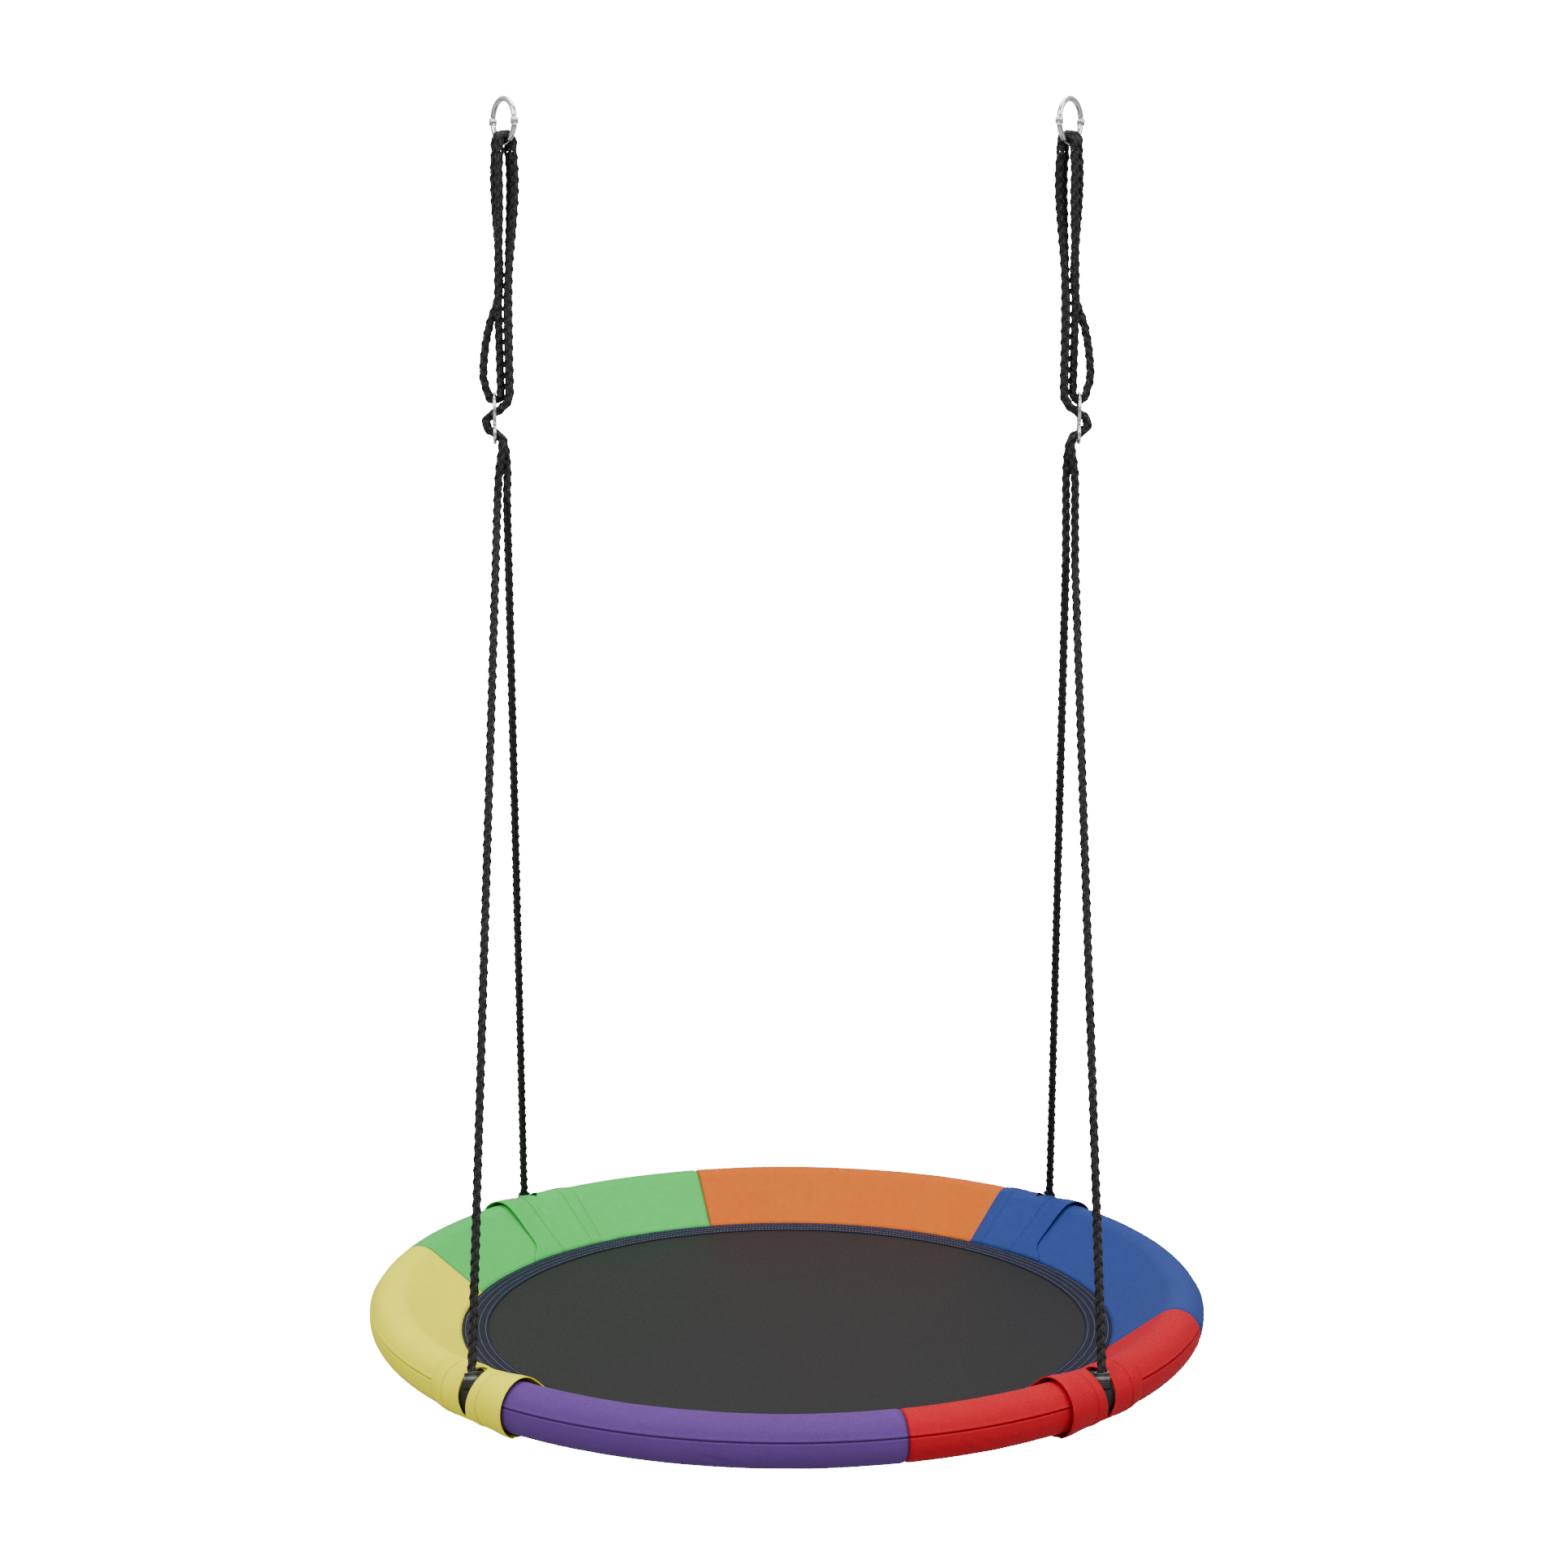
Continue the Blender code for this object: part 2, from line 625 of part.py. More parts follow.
def turn_route(side, wrap):
    """The rope's turn over the wire of a ring."""
    drop = RING_INNER_RADIUS - RING_BOTTOM
    along = wrap * WRAP_SPACING
    over = [
        ring_place(side, along, WRAP_RADIUS * math.cos(angle), drop - WRAP_RADIUS * math.sin(angle))
        for angle in [math.pi * i / 10 for i in range(11)]
    ]
    front = ring_place(side, along, WRAP_RADIUS, drop + WRAP_CUT)
    back = ring_place(side, along, -WRAP_RADIUS, drop + WRAP_CUT)
    return [front, *over, back]


def make_rope(name, route, group, material, carrier):
    """Make one piece of rope along its route."""
    hang(add_object(name, tube_data(name, route, ROPE_RADIUS), group, material), carrier)


def make_ropes(side, group, material, carriers):
    """Make one side's rope: two turns on the ring, the middle loop and the two long legs."""
    for wrap, place in ((1.0, "front"), (-1.0, "rear")):
        name = "rope_turn_" + side + "_" + place
        make_rope(name, turn_route(side, wrap), group, material, carriers["swing"])
    bight = smooth_route(bight_route(side))
    make_rope("rope_bight_" + side, bight, group, material, carriers[side])
    for label, azimuth, _ in ATTACHMENTS:
        if label.endswith(side):
            leg = smooth_route(leg_route(side, label, azimuth))
            make_rope("rope_leg_" + label, leg, group, material, carriers[side])


# Adjusters ----------------------------------------------------------------------------------------


def eye_points(width, height, middle, count):
    """Points round one oval eye of the adjuster, in its own YZ plane."""
    step = 2 * math.pi / count
    return [
        (0.0, width / 2 * math.cos(step * i), middle + height / 2 * math.sin(step * i)) for i in range(count)
    ]


def make_adjuster(side, group, cutters, material, carrier):
    """Make the bent-wire adjuster: a large upper eye and a small lower eye, joined at the waist."""
    upper = eye_points(UPPER_EYE_WIDTH, UPPER_EYE_HEIGHT, UPPER_EYE_HEIGHT / 2, 22)
    lower = eye_points(LOWER_EYE_WIDTH, LOWER_EYE_HEIGHT, -LOWER_EYE_HEIGHT / 2, 18)
    curves = [
        tube_data("eye", points, ADJUSTER_WIRE_RADIUS, closed=True) for points in (upper, lower)
    ]
    name = "rope_adjuster_" + side
    adjuster = add_object(name, mesh_from_curve(name, curves[0], cutters), group, material)
    eye_data = mesh_from_curve("lower_eye", curves[1], cutters)
    eye = hide_cutter(add_object("lower_eye_" + side, eye_data, cutters))
    for item in (adjuster, eye):
        item.location = adjuster_place(side, 0.0, 0.0, 0.0)
        item.rotation_euler.z = -SIDES[side] * ADJUSTER_TURN[side]
        hang(item, carrier)
    cut(adjuster, eye, "UNION")


# Snap rings ---------------------------------------------------------------------------------------


def ring_arc(start, end, count):
    """Points on the ring's wire between two angles."""
    step = (end - start) / (count - 1)
    return [
        (RING_RADIUS * math.cos(start + step * i), 0.0, RING_RADIUS * math.sin(start + step * i))
        for i in range(count)
    ]


def ear_data(name, width, radius, reach):
    """Make a rounded plate about Y that reaches down or up from its round end."""
    curve = bpy.data.curves.new(name, "CURVE")
    curve.dimensions = "2D"
    curve.fill_mode = "BOTH"
    curve.extrude = width / 2
    spline = curve.splines.new("POLY")
    direction = 1.0 if reach > 0 else -1.0
    angles = [math.pi * i / 10 for i in range(11)]
    points = [(radius * math.cos(at), -direction * radius * math.sin(at)) for at in angles]
    points += [(-radius, reach), (radius, reach)]
    spline.points.add(len(points) - 1)
    for spot, (x, y) in zip(spline.points, points):
        spot.co = (x, y, 0.0, 1.0)
    spline.use_cyclic_u = True
    return curve


def make_ring_tools(cutters):
    """Make the solids that shape the ends of both ring halves, in the ring's own axes."""
    tools = {}
    reach = RING_RADIUS * math.sin(RING_END_ANGLE) + 0.001
    for key, width, length in (("ear", RING_EAR_WIDTH, -reach), ("tongue", RING_TONGUE, reach)):
        mesh = mesh_from_curve(key, ear_data(key, width, RING_EAR_RADIUS, length), cutters)
        tools[key] = mesh
    tools["slot"] = box_data("slot", (4 * RING_EAR_RADIUS, RING_SLOT, 2 * RING_EAR_RADIUS + 0.0008))
    tools["bore"] = cylinder_data("bore", RING_PIN_RADIUS + 0.0001, 2 * RING_EAR_WIDTH, 12)
    tools["notch"] = box_data("notch", (2 * RING_PIN_RADIUS + 0.0005, RING_SLOT, 2 * RING_EAR_RADIUS))
    return tools


def place_tool(name, data, cutters, parent, location, turn=(0.0, 0.0, 0.0)):
    """Put a shaping solid at a ring's end."""
    tool = hide_cutter(add_object(name, data, cutters, parent=parent))
    tool.location = location
    tool.rotation_euler = turn
    return tool


def make_ring(side, group, cutters, materials, tools):
    """Make one snap ring: a lower half that carries the rope and an upper half that swings open."""
    hub = add_empty("ring_middle_" + side, group, (SIDES[side] * RING_X, 0.0, -RING_INNER_RADIUS))
    hub.rotation_euler.z = -RING_TURN if side == "left" else math.pi + RING_TURN
    hinge = add_empty("ring_hinge_" + side, group, (RING_RADIUS, 0.0, 0.0), hub)
    lower_wire = ring_arc(math.pi + RING_END_ANGLE, 2 * math.pi - RING_END_ANGLE, 16)
    upper_wire = ring_arc(RING_END_ANGLE * 1.05, math.pi - RING_END_ANGLE * 1.05, 16)
    lower = add_object(
        "ring_lower_" + side,
        mesh_from_curve("ring_lower", tube_data("wire", lower_wire, RING_WIRE_RADIUS, 3), cutters),
        group,
        materials["chrome"],
        hub,
    )
    upper = add_object(
        "ring_upper_" + side,
        mesh_from_curve("ring_upper", tube_data("wire", upper_wire, RING_WIRE_RADIUS, 3), cutters),
        group,
        materials["chrome"],
        hinge,
    )
    upper.matrix_parent_inverse = Matrix.Translation((-RING_RADIUS, 0.0, 0.0))
    upright = (math.pi / 2, 0.0, 0.0)
    ends = {"hinge": (RING_RADIUS, 0.0, 0.0), "catch": (-RING_RADIUS, 0.0, 0.0)}
    for key, spot in ends.items():
        ear = place_tool("ear_" + key + "_" + side, tools["ear"], cutters, hub, spot, upright)
        tongue = place_tool("tongue_" + key + "_" + side, tools["tongue"], cutters, hub, spot, upright)
        cut(lower, ear, "UNION")
        cut(upper, tongue, "UNION")
    for key, spot in ends.items():
        slot = place_tool("slot_" + key + "_" + side, tools["slot"], cutters, hub, spot)
        rolled = (math.pi / 2, math.radians(7), 0.0)
        bore = place_tool("bore_" + key + "_" + side, tools["bore"], cutters, hub, spot, rolled)
        cut(lower, slot)
        cut(lower, bore)
        if key == "hinge":
            cut(upper, bore)
        else:
            notch_spot = (spot[0], 0.0, RING_PIN_RADIUS + 0.0004 - RING_EAR_RADIUS)
            notch = place_tool("notch_" + side, tools["notch"], cutters, hub, notch_spot)
            cut(upper, notch)
        name = "ring_" + key + "_pin_" + side
        pin = add_object(name, pin_outline(), group, materials["zinc"], hub)
        pin.location = spot
        pin.rotation_euler = upright
        turn_pin(pin)


def pin_outline():
    """Outline of a ring's rivet, with a flat head outside each ear."""
    half = RING_EAR_WIDTH / 2 + 0.0002
    head = RING_PIN_RADIUS * 1.5
    shank = RING_PIN_RADIUS - 0.0001
    points = [
        (0.0, half + RING_PIN_HEAD),
        (head, half + RING_PIN_HEAD),
        (head, half),
        (shank, half),
        (shank, -half),
        (head, -half),
        (head, -half - RING_PIN_HEAD),
        (0.0, -half - RING_PIN_HEAD),
    ]
    return outline_mesh("ring_pin", points, False)


def turn_pin(pin):
    """Turn a pin's outline about its own axis."""
    screw = pin.modifiers.new("Turn", "SCREW")
    screw.angle = 2 * math.pi
    screw.steps = 12
    screw.render_steps = 12
    screw.use_merge_vertices = True
    screw.merge_threshold = 0.00001
    screw.use_smooth_shade = False


# The whole swing ----------------------------------------------------------------------------------


def make_carriers(group):
    """Add the empties, each on its joint's axis, that the moving pieces hang on."""
    swing = add_empty("swing_axis", group, (0.0, 0.0, RING_BOTTOM - RING_INNER_RADIUS))
    carriers = {"swing": swing}
    for side, sign in SIDES.items():
        carriers[side] = add_empty("sway_axis_" + side, group, (sign * RING_X, 0.0, 0.0), swing)
    label, azimuth, _ = ATTACHMENTS[0]
    base, direction = rope_end(label, azimuth)
    pivot = base + direction * ROPE_END_RISE - Vector((0.0, 0.0, HANG_HEIGHT)) - swing.location
    spot = (pivot.x + RING_X, 0.0, pivot.z)
    level = add_empty("saucer_level_axis", group, spot, carriers["left"])
    carriers["saucer"] = add_empty("saucer", group, (0.0, 0.0, -HANG_HEIGHT))
    hang(carriers["saucer"], level)
    return carriers


def make_materials():
    """Make every material of the swing."""
    materials = {
        "steel": make_material("steel", (0.45, 0.46, 0.47), 0.45, 1.0),
        "zinc": make_material("zinc", (0.62, 0.63, 0.65), 0.35, 1.0),
        "chrome": make_material("chrome", (0.80, 0.81, 0.83), 0.12, 1.0),
        "foam": make_material("foam", (0.10, 0.10, 0.11), 0.95),
        "mat": make_material("mat", (0.042, 0.042, 0.043), 0.85),
        "hem": make_material("hem", (0.040, 0.040, 0.055), 0.80),
        "webbing": make_material("webbing", (0.030, 0.030, 0.032), 0.80),
        "rope": make_material("rope", (0.012, 0.012, 0.013), 0.45),
    }
    for colour, value in COLOURS.items():
        materials[colour] = make_material("fabric_" + colour, value, 0.75)
    return materials


def main():
    """Build the swing."""
    clear_scene()
    group = make_collection("saucer_swing")
    cutters = make_collection("cutters")
    materials = make_materials()
    carriers = make_carriers(group)
    saucer = carriers["saucer"]
    make_frame(group, cutters, materials, saucer)
    make_mat(group, materials, saucer)
    slots = []
    for label, azimuth, _ in ATTACHMENTS:
        slots.append((azimuth, make_slot_cutter(label, azimuth, cutters, saucer)))
    for colour, start in PANELS:
        make_cover(colour, start, group, materials[colour], saucer, slots)
    for (label, azimuth, colour), (_, block) in zip(ATTACHMENTS, slots):
        make_sleeve(label, azimuth, group, materials[colour], saucer, block)
        make_sling(label, azimuth, group, cutters, materials["webbing"], saucer)
    tools = make_ring_tools(cutters)
    for side in SIDES:
        make_ring(side, group, cutters, materials, tools)
        make_adjuster(side, group, cutters, materials["chrome"], carriers[side])
        make_ropes(side, group, materials["rope"], carriers)


main()
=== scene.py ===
"""Saucer swing: the visible pieces, finishes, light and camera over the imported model.

Metres, +Z up. The origin is midway between the two snap rings, level with the inner top of each.
The front of the swing faces -Y.
"""
import math

import bmesh
import bpy
from bpy.props import FloatProperty, FloatVectorProperty, IntProperty, PointerProperty
from mathutils import Matrix, Vector, noise


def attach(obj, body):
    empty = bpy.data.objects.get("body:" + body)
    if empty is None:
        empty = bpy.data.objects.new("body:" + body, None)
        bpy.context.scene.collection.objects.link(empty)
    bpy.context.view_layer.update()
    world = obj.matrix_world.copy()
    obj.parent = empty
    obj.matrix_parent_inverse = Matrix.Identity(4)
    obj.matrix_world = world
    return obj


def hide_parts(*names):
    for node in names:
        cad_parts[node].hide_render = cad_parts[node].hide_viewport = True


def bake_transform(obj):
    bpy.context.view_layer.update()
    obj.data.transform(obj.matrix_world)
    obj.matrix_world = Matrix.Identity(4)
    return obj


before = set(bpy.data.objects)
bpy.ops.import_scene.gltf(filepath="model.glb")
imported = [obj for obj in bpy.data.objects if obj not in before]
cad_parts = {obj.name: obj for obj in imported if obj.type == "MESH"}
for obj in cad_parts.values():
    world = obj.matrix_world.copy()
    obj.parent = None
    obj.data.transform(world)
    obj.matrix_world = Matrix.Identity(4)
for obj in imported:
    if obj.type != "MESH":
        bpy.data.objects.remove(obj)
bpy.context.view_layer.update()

bl_info = {
    "name": "Saucer Swing",
    "version": (1, 0, 0),
    "blender": (4, 5, 0),
    "location": "3D View > Sidebar > Saucer Swing",
    "description": "Builds a padded saucer swing with braided ropes, snap rings and wire adjusters",
    "category": "Object",
}

# Places shared with the solid model ---------------------------------------------------------------

HANG_HEIGHT = 1.415
RIM_RADIUS = 0.500
PAD_RADIUS = 0.0285
SKIRT_INNER_RADIUS = 0.3905
SKIRT_SLOPE = math.radians(37)
SLING_ANGLE = math.radians(46)
SLING_RADIUS = 0.0256
POCKET_HEIGHT = 0.026
ROPE_END_RISE = 0.008
ROPE_RADIUS = 0.005
ROPE_GAP = 0.0003
RING_X = 0.3225
RING_RADIUS = 0.0245
RING_WIRE_RADIUS = 0.00325
RING_TURN = math.radians(55)
WRAP_RADIUS = 0.0087
WRAP_CUT = 0.010
ADJUSTER_OUT = 0.015
ADJUSTER_DROP = 0.364
ADJUSTER_WIRE_RADIUS = 0.0021
UPPER_EYE = (0.029, 0.034)
LOWER_EYE = (0.027, 0.022)
ADJUSTER_TURN = {"left": math.radians(5), "right": math.radians(2)}
FORK_DROP = {"left": 0.448, "right": 0.523}
SIDES = {"left": -1.0, "right": 1.0}
PANELS = {"yellow": 165, "green": 105, "orange": 45, "blue": -15, "red": 285, "purple": 225}
ATTACHMENTS = {
    "front_left": (225, "yellow", 1.0),
    "rear_left": (135, "green", 1.0),
    "rear_right": (45, "blue", -1.0),
    "front_right": (315, "red", -1.0),
}

PAD_CENTRE = RIM_RADIUS - PAD_RADIUS
RING_INNER_RADIUS = RING_RADIUS - RING_WIRE_RADIUS
PAIR_SPACING = ROPE_RADIUS + ROPE_GAP
WRAP_SPACING = ROPE_RADIUS + ROPE_GAP / 2 + 0.0001
RING_BOTTOM = -math.sqrt(RING_RADIUS**2 - WRAP_SPACING**2)
SKIRT_RUN = PAD_CENTRE - PAD_RADIUS * math.sin(SKIRT_SLOPE) - SKIRT_INNER_RADIUS
SKIRT_TIP_Z = PAD_RADIUS * math.cos(SKIRT_SLOPE) - SKIRT_RUN * math.tan(SKIRT_SLOPE)
MAT_TOP = -HANG_HEIGHT + SKIRT_TIP_Z - 0.0006
MAT_RADIUS = SKIRT_INNER_RADIUS - 0.0013
MAT_LAP = 0.0022
WALL_GAP = 0.0020
SLEEVE_STITCHES = (-0.038, 0.020)
SEAM_ANGLE = math.radians(16)
SEAM_STEPS = (-0.0026, -0.0018, -0.0012, -0.0008, -0.0004, 0.0, 0.0004, 0.0008, 0.0012, 0.0018, 0.0026)
SLOT_TOP = math.radians(100)
SLOT_END = math.radians(-43)
BACKDROP_LIGHT = 18.0
SKY_LIGHT = 0.62


# Settings -----------------------------------------------------------------------------------------


def colour_setting(name, value):
    """A colour that the panel shows."""
    return FloatVectorProperty(
        name=name,
        description="Base colour of the " + name.lower(),
        default=value,
        min=0.0,
        max=1.0,
        size=3,
        subtype="COLOR",
    )


def length_setting(name, value, description):
    """A length that the panel shows."""
    return FloatProperty(name=name, description=description, default=value, unit="LENGTH")


class SwingSizes(bpy.types.PropertyGroup):
    """Sizes of the visible detail."""

    strand_width: length_setting("Strand Width", 0.0047, "Width of one strand of the braided rope")
    strand_depth: length_setting("Strand Depth", 0.0027, "Thickness of one strand of the braided rope")
    lay_length: length_setting(
        "Lay Length", 0.038, "Length along the rope in which a strand goes once round it"
    )
    strand_proud: length_setting(
        "Strand Proud", 0.0006, "How far the strands' crowns stand out of the rope's own radius"
    )
    strands: IntProperty(
        name="Strands Each Way",
        description="Strands that run round the rope in each direction",
        default=3,
        min=2,
        max=8,
    )
    stitch_length: length_setting("Stitch Length", 0.0031, "Length of one visible stitch")
    stitch_pitch: length_setting("Stitch Pitch", 0.0043, "Distance from one stitch to the next")
    thread_radius: length_setting("Thread Radius", 0.00036, "Radius of the sewing thread")
    cloth_wall: length_setting("Cloth Thickness", 0.0012, "Thickness of the cover cloth")
    sleeve_length: length_setting("Sleeve Length", 0.118, "Length of a rope sleeve along the rim")
    sleeve_flare: length_setting(
        "Sleeve Flare", 0.0040, "How far a sleeve's open end stands off the cover"
    )
    crease_depth: length_setting("Crease Depth", 0.0010, "Depth of the creases in the cover cloth")
    mat_sag: length_setting("Mat Sag", 0.0020, "How far the middle of the mat hangs below its edge")


class SwingColours(bpy.types.PropertyGroup):
    """Base colours of the finishes."""

    yellow: colour_setting("Yellow Cloth", (1.0, 0.93, 0.0))
    green: colour_setting("Green Cloth", (0.054, 0.567, 0.095))
    orange: colour_setting("Orange Cloth", (0.67, 0.132, 0.006))
    blue: colour_setting("Blue Cloth", (0.024, 0.050, 0.225))
    red: colour_setting("Red Cloth", (0.505, 0.004, 0.015))
    purple: colour_setting("Purple Cloth", (0.110, 0.043, 0.228))
    mat: colour_setting("Mat Cloth", (0.021, 0.021, 0.022))
    hem: colour_setting("Hem Tape", (0.013, 0.014, 0.026))
    thread: colour_setting("Hem Thread", (0.13, 0.17, 0.34))
    webbing: colour_setting("Webbing", (0.010, 0.010, 0.011))
    rope: colour_setting("Rope", (0.0042, 0.0042, 0.0045))
    metal: colour_setting("Plated Wire", (0.93, 0.935, 0.95))
    steel: colour_setting("Frame Steel", (0.46, 0.47, 0.48))
    foam: colour_setting("Foam", (0.09, 0.09, 0.10))
    floor: colour_setting("Floor", (0.42, 0.42, 0.42))


# Node helpers -------------------------------------------------------------------------------------


def feed(tree, value, socket):
    """Link a socket to another, or set its value."""
    if isinstance(value, bpy.types.NodeSocket):
        tree.links.new(value, socket)
    else:
        socket.default_value = value


def calc(tree, operation, *values):
    """Add a math node and return its result."""
    item = tree.nodes.new("ShaderNodeMath")
    item.operation = operation
    for value, socket in zip(values, item.inputs):
        feed(tree, value, socket)
    return item.outputs[0]


def vector_calc(tree, operation, first, second=None, scale=None):
    """Add a vector math node and return its result."""
    item = tree.nodes.new("ShaderNodeVectorMath")
    item.operation = operation
    feed(tree, first, item.inputs[0])
    if second is not None:
        feed(tree, second, item.inputs[1])
    if scale is not None:
        feed(tree, scale, item.inputs["Scale"])
    return item.outputs["Value"] if operation == "DOT_PRODUCT" else item.outputs["Vector"]


def blend_colours(tree, share, first, second, mode="MIX"):
    """Add a colour mix node and return its result."""
    item = tree.nodes.new("ShaderNodeMix")
    item.data_type = "RGBA"
    item.blend_type = mode
    feed(tree, share, item.inputs[0])
    feed(tree, first, item.inputs[6])
    feed(tree, second, item.inputs[7])
    return item.outputs[2]


def map_range(tree, value, low, high, new_low, new_high):
    """Add a clamped map range node and return its result."""
    item = tree.nodes.new("ShaderNodeMapRange")
    item.clamp = True
    for socket, given in zip(item.inputs, (value, low, high, new_low, new_high)):
        feed(tree, given, socket)
    return item.outputs[0]


def new_group(name, kind, inputs, outputs):
    """Start a node group with named sockets."""
    tree = bpy.data.node_groups.new(name, kind)
    for label, socket_kind, default in inputs:
        socket = tree.interface.new_socket(name=label, in_out="INPUT", socket_type=socket_kind)
        if default is not None:
            socket.default_value = default
    for label, socket_kind in outputs:
        tree.interface.new_socket(name=label, in_out="OUTPUT", socket_type=socket_kind)
    given = tree.nodes.new("NodeGroupInput")
    result = tree.nodes.new("NodeGroupOutput")
    return tree, given, result


def use_group(tree, group, **values):
    """Place a shader group in a tree and return its outputs."""
    item = tree.nodes.new("ShaderNodeGroup")
    item.node_tree = group
    for name, value in values.items():
        feed(tree, value, item.inputs[name.replace("_", " ")])
    return item.outputs


def shared_group(name, maker):
    """The shader group of that name, made on first use."""
    return bpy.data.node_groups.get(name) or maker(name)


# Shader groups ------------------------------------------------------------------------------------


def weave_group(name):
    """Plain weave: threads over and under each other, on coordinates in metres, with a mask of the gaps
    between the threads for painted shade.
    """
    inputs = [("Vector", "NodeSocketVector", None), ("Thread Pitch", "NodeSocketFloat", 0.001)]
    outputs = [("Height", "NodeSocketFloat"), ("Gaps", "NodeSocketFloat")]
    tree, given, result = new_group(name, "ShaderNodeTree", inputs, outputs)
    parts = tree.nodes.new("ShaderNodeSeparateXYZ")
    tree.links.new(given.outputs["Vector"], parts.inputs[0])
    cells = []
    waves = []
    for axis in (0, 1):
        count = calc(tree, "DIVIDE", parts.outputs[axis], given.outputs["Thread Pitch"])
        cells.append(calc(tree, "FLOOR", count))
        waves.append(calc(tree, "ABSOLUTE", calc(tree, "SINE", calc(tree, "MULTIPLY", count, math.pi))))
    parity = calc(tree, "PINGPONG", calc(tree, "ADD", cells[0], cells[1]), 1.0)
    first = calc(tree, "MULTIPLY", waves[0], calc(tree, "MULTIPLY_ADD", waves[1], 0.5, 0.5))
    second = calc(tree, "MULTIPLY", waves[1], calc(tree, "MULTIPLY_ADD", waves[0], 0.5, 0.5))
    kept = calc(tree, "MULTIPLY", first, calc(tree, "SUBTRACT", 1.0, parity))
    height = calc(tree, "ADD", kept, calc(tree, "MULTIPLY", second, parity))
    tree.links.new(height, result.inputs["Height"])
    # Painted shade: a mask of the gaps between the threads, where the cloth colour is darkened
    gap_shade = map_range(tree, calc(tree, "MAXIMUM", waves[0], waves[1]), 0.15, 0.5, 1.0, 0.0)
    tree.links.new(gap_shade, result.inputs["Gaps"])
    return tree


def mottle_group(name):
    """Slow and fine unevenness of a surface, as a factor near one."""
    inputs = [
        ("Vector", "NodeSocketVector", None),
        ("Scale", "NodeSocketFloat", 12.0),
        ("Spread", "NodeSocketFloat", 0.1),
    ]
    outputs = [("Factor", "NodeSocketFloat"), ("Raw", "NodeSocketFloat")]
    tree, given, result = new_group(name, "ShaderNodeTree", inputs, outputs)
    cloud = tree.nodes.new("ShaderNodeTexNoise")
    cloud.inputs["Detail"].default_value = 5.0
    cloud.inputs["Roughness"].default_value = 0.6
    tree.links.new(given.outputs["Vector"], cloud.inputs["Vector"])
    tree.links.new(given.outputs["Scale"], cloud.inputs["Scale"])
    raw = cloud.outputs[0]
    away = calc(tree, "SUBTRACT", raw, 0.5)
    factor = calc(tree, "MULTIPLY_ADD", away, given.outputs["Spread"], 1.0)
    tree.links.new(factor, result.inputs["Factor"])
    tree.links.new(raw, result.inputs["Raw"])
    return tree


def scratch_group(name):
    """Fine scratches and dull patches on metal."""
    inputs = [("Vector", "NodeSocketVector", None), ("Scale", "NodeSocketFloat", 300.0)]
    outputs = [("Mask", "NodeSocketFloat"), ("Height", "NodeSocketFloat")]
    tree, given, result = new_group(name, "ShaderNodeTree", inputs, outputs)
    stretched = vector_calc(tree, "MULTIPLY", given.outputs["Vector"], (1.0, 1.0, 0.12))
    fine = tree.nodes.new("ShaderNodeTexNoise")
    fine.inputs["Detail"].default_value = 3.0
    tree.links.new(stretched, fine.inputs["Vector"])
    tree.links.new(given.outputs["Scale"], fine.inputs["Scale"])
    broad = tree.nodes.new("ShaderNodeTexNoise")
    broad.inputs["Scale"].default_value = 60.0
    tree.links.new(given.outputs["Vector"], broad.inputs["Vector"])
    mask = calc(tree, "MULTIPLY", map_range(tree, fine.outputs[0], 0.5, 0.75, 0.0, 1.0), broad.outputs[0])
    tree.links.new(mask, result.inputs["Mask"])
    tree.links.new(fine.outputs[0], result.inputs["Height"])
    return tree


# Materials ----------------------------------------------------------------------------------------


def new_material(name, roughness, metallic=0.0):
    """Start a material and return its tree and its shader."""
    material = bpy.data.materials.new(name)
    material.use_nodes = True
    tree = material.node_tree
    shader = tree.nodes["Principled BSDF"]
    shader.inputs["Roughness"].default_value = roughness
    shader.inputs["Metallic"].default_value = metallic
    return material, tree, shader


def coordinates(tree, kind="Object"):
    """Coordinates of a piece: Object, or UV in metres."""
    return tree.nodes.new("ShaderNodeTexCoord").outputs[kind]


def named_value(tree, name, output="Fac"):
    """A value that the mesh carries."""
    item = tree.nodes.new("ShaderNodeAttribute")
    item.attribute_name = name
    return item.outputs[output]


def add_bump(tree, shader, height, distance, strength=1.0):
    """Raise a surface by a height pattern."""
    bump = tree.nodes.new("ShaderNodeBump")
    bump.inputs["Distance"].default_value = distance
    bump.inputs["Strength"].default_value = strength
    tree.links.new(height, bump.inputs["Height"])
    tree.links.new(bump.outputs[0], shader.inputs["Normal"])


def shade(colour, factor):
    """A colour made darker or lighter."""
    return (*[min(1.0, max(0.0, part * factor)) for part in colour], 1.0)


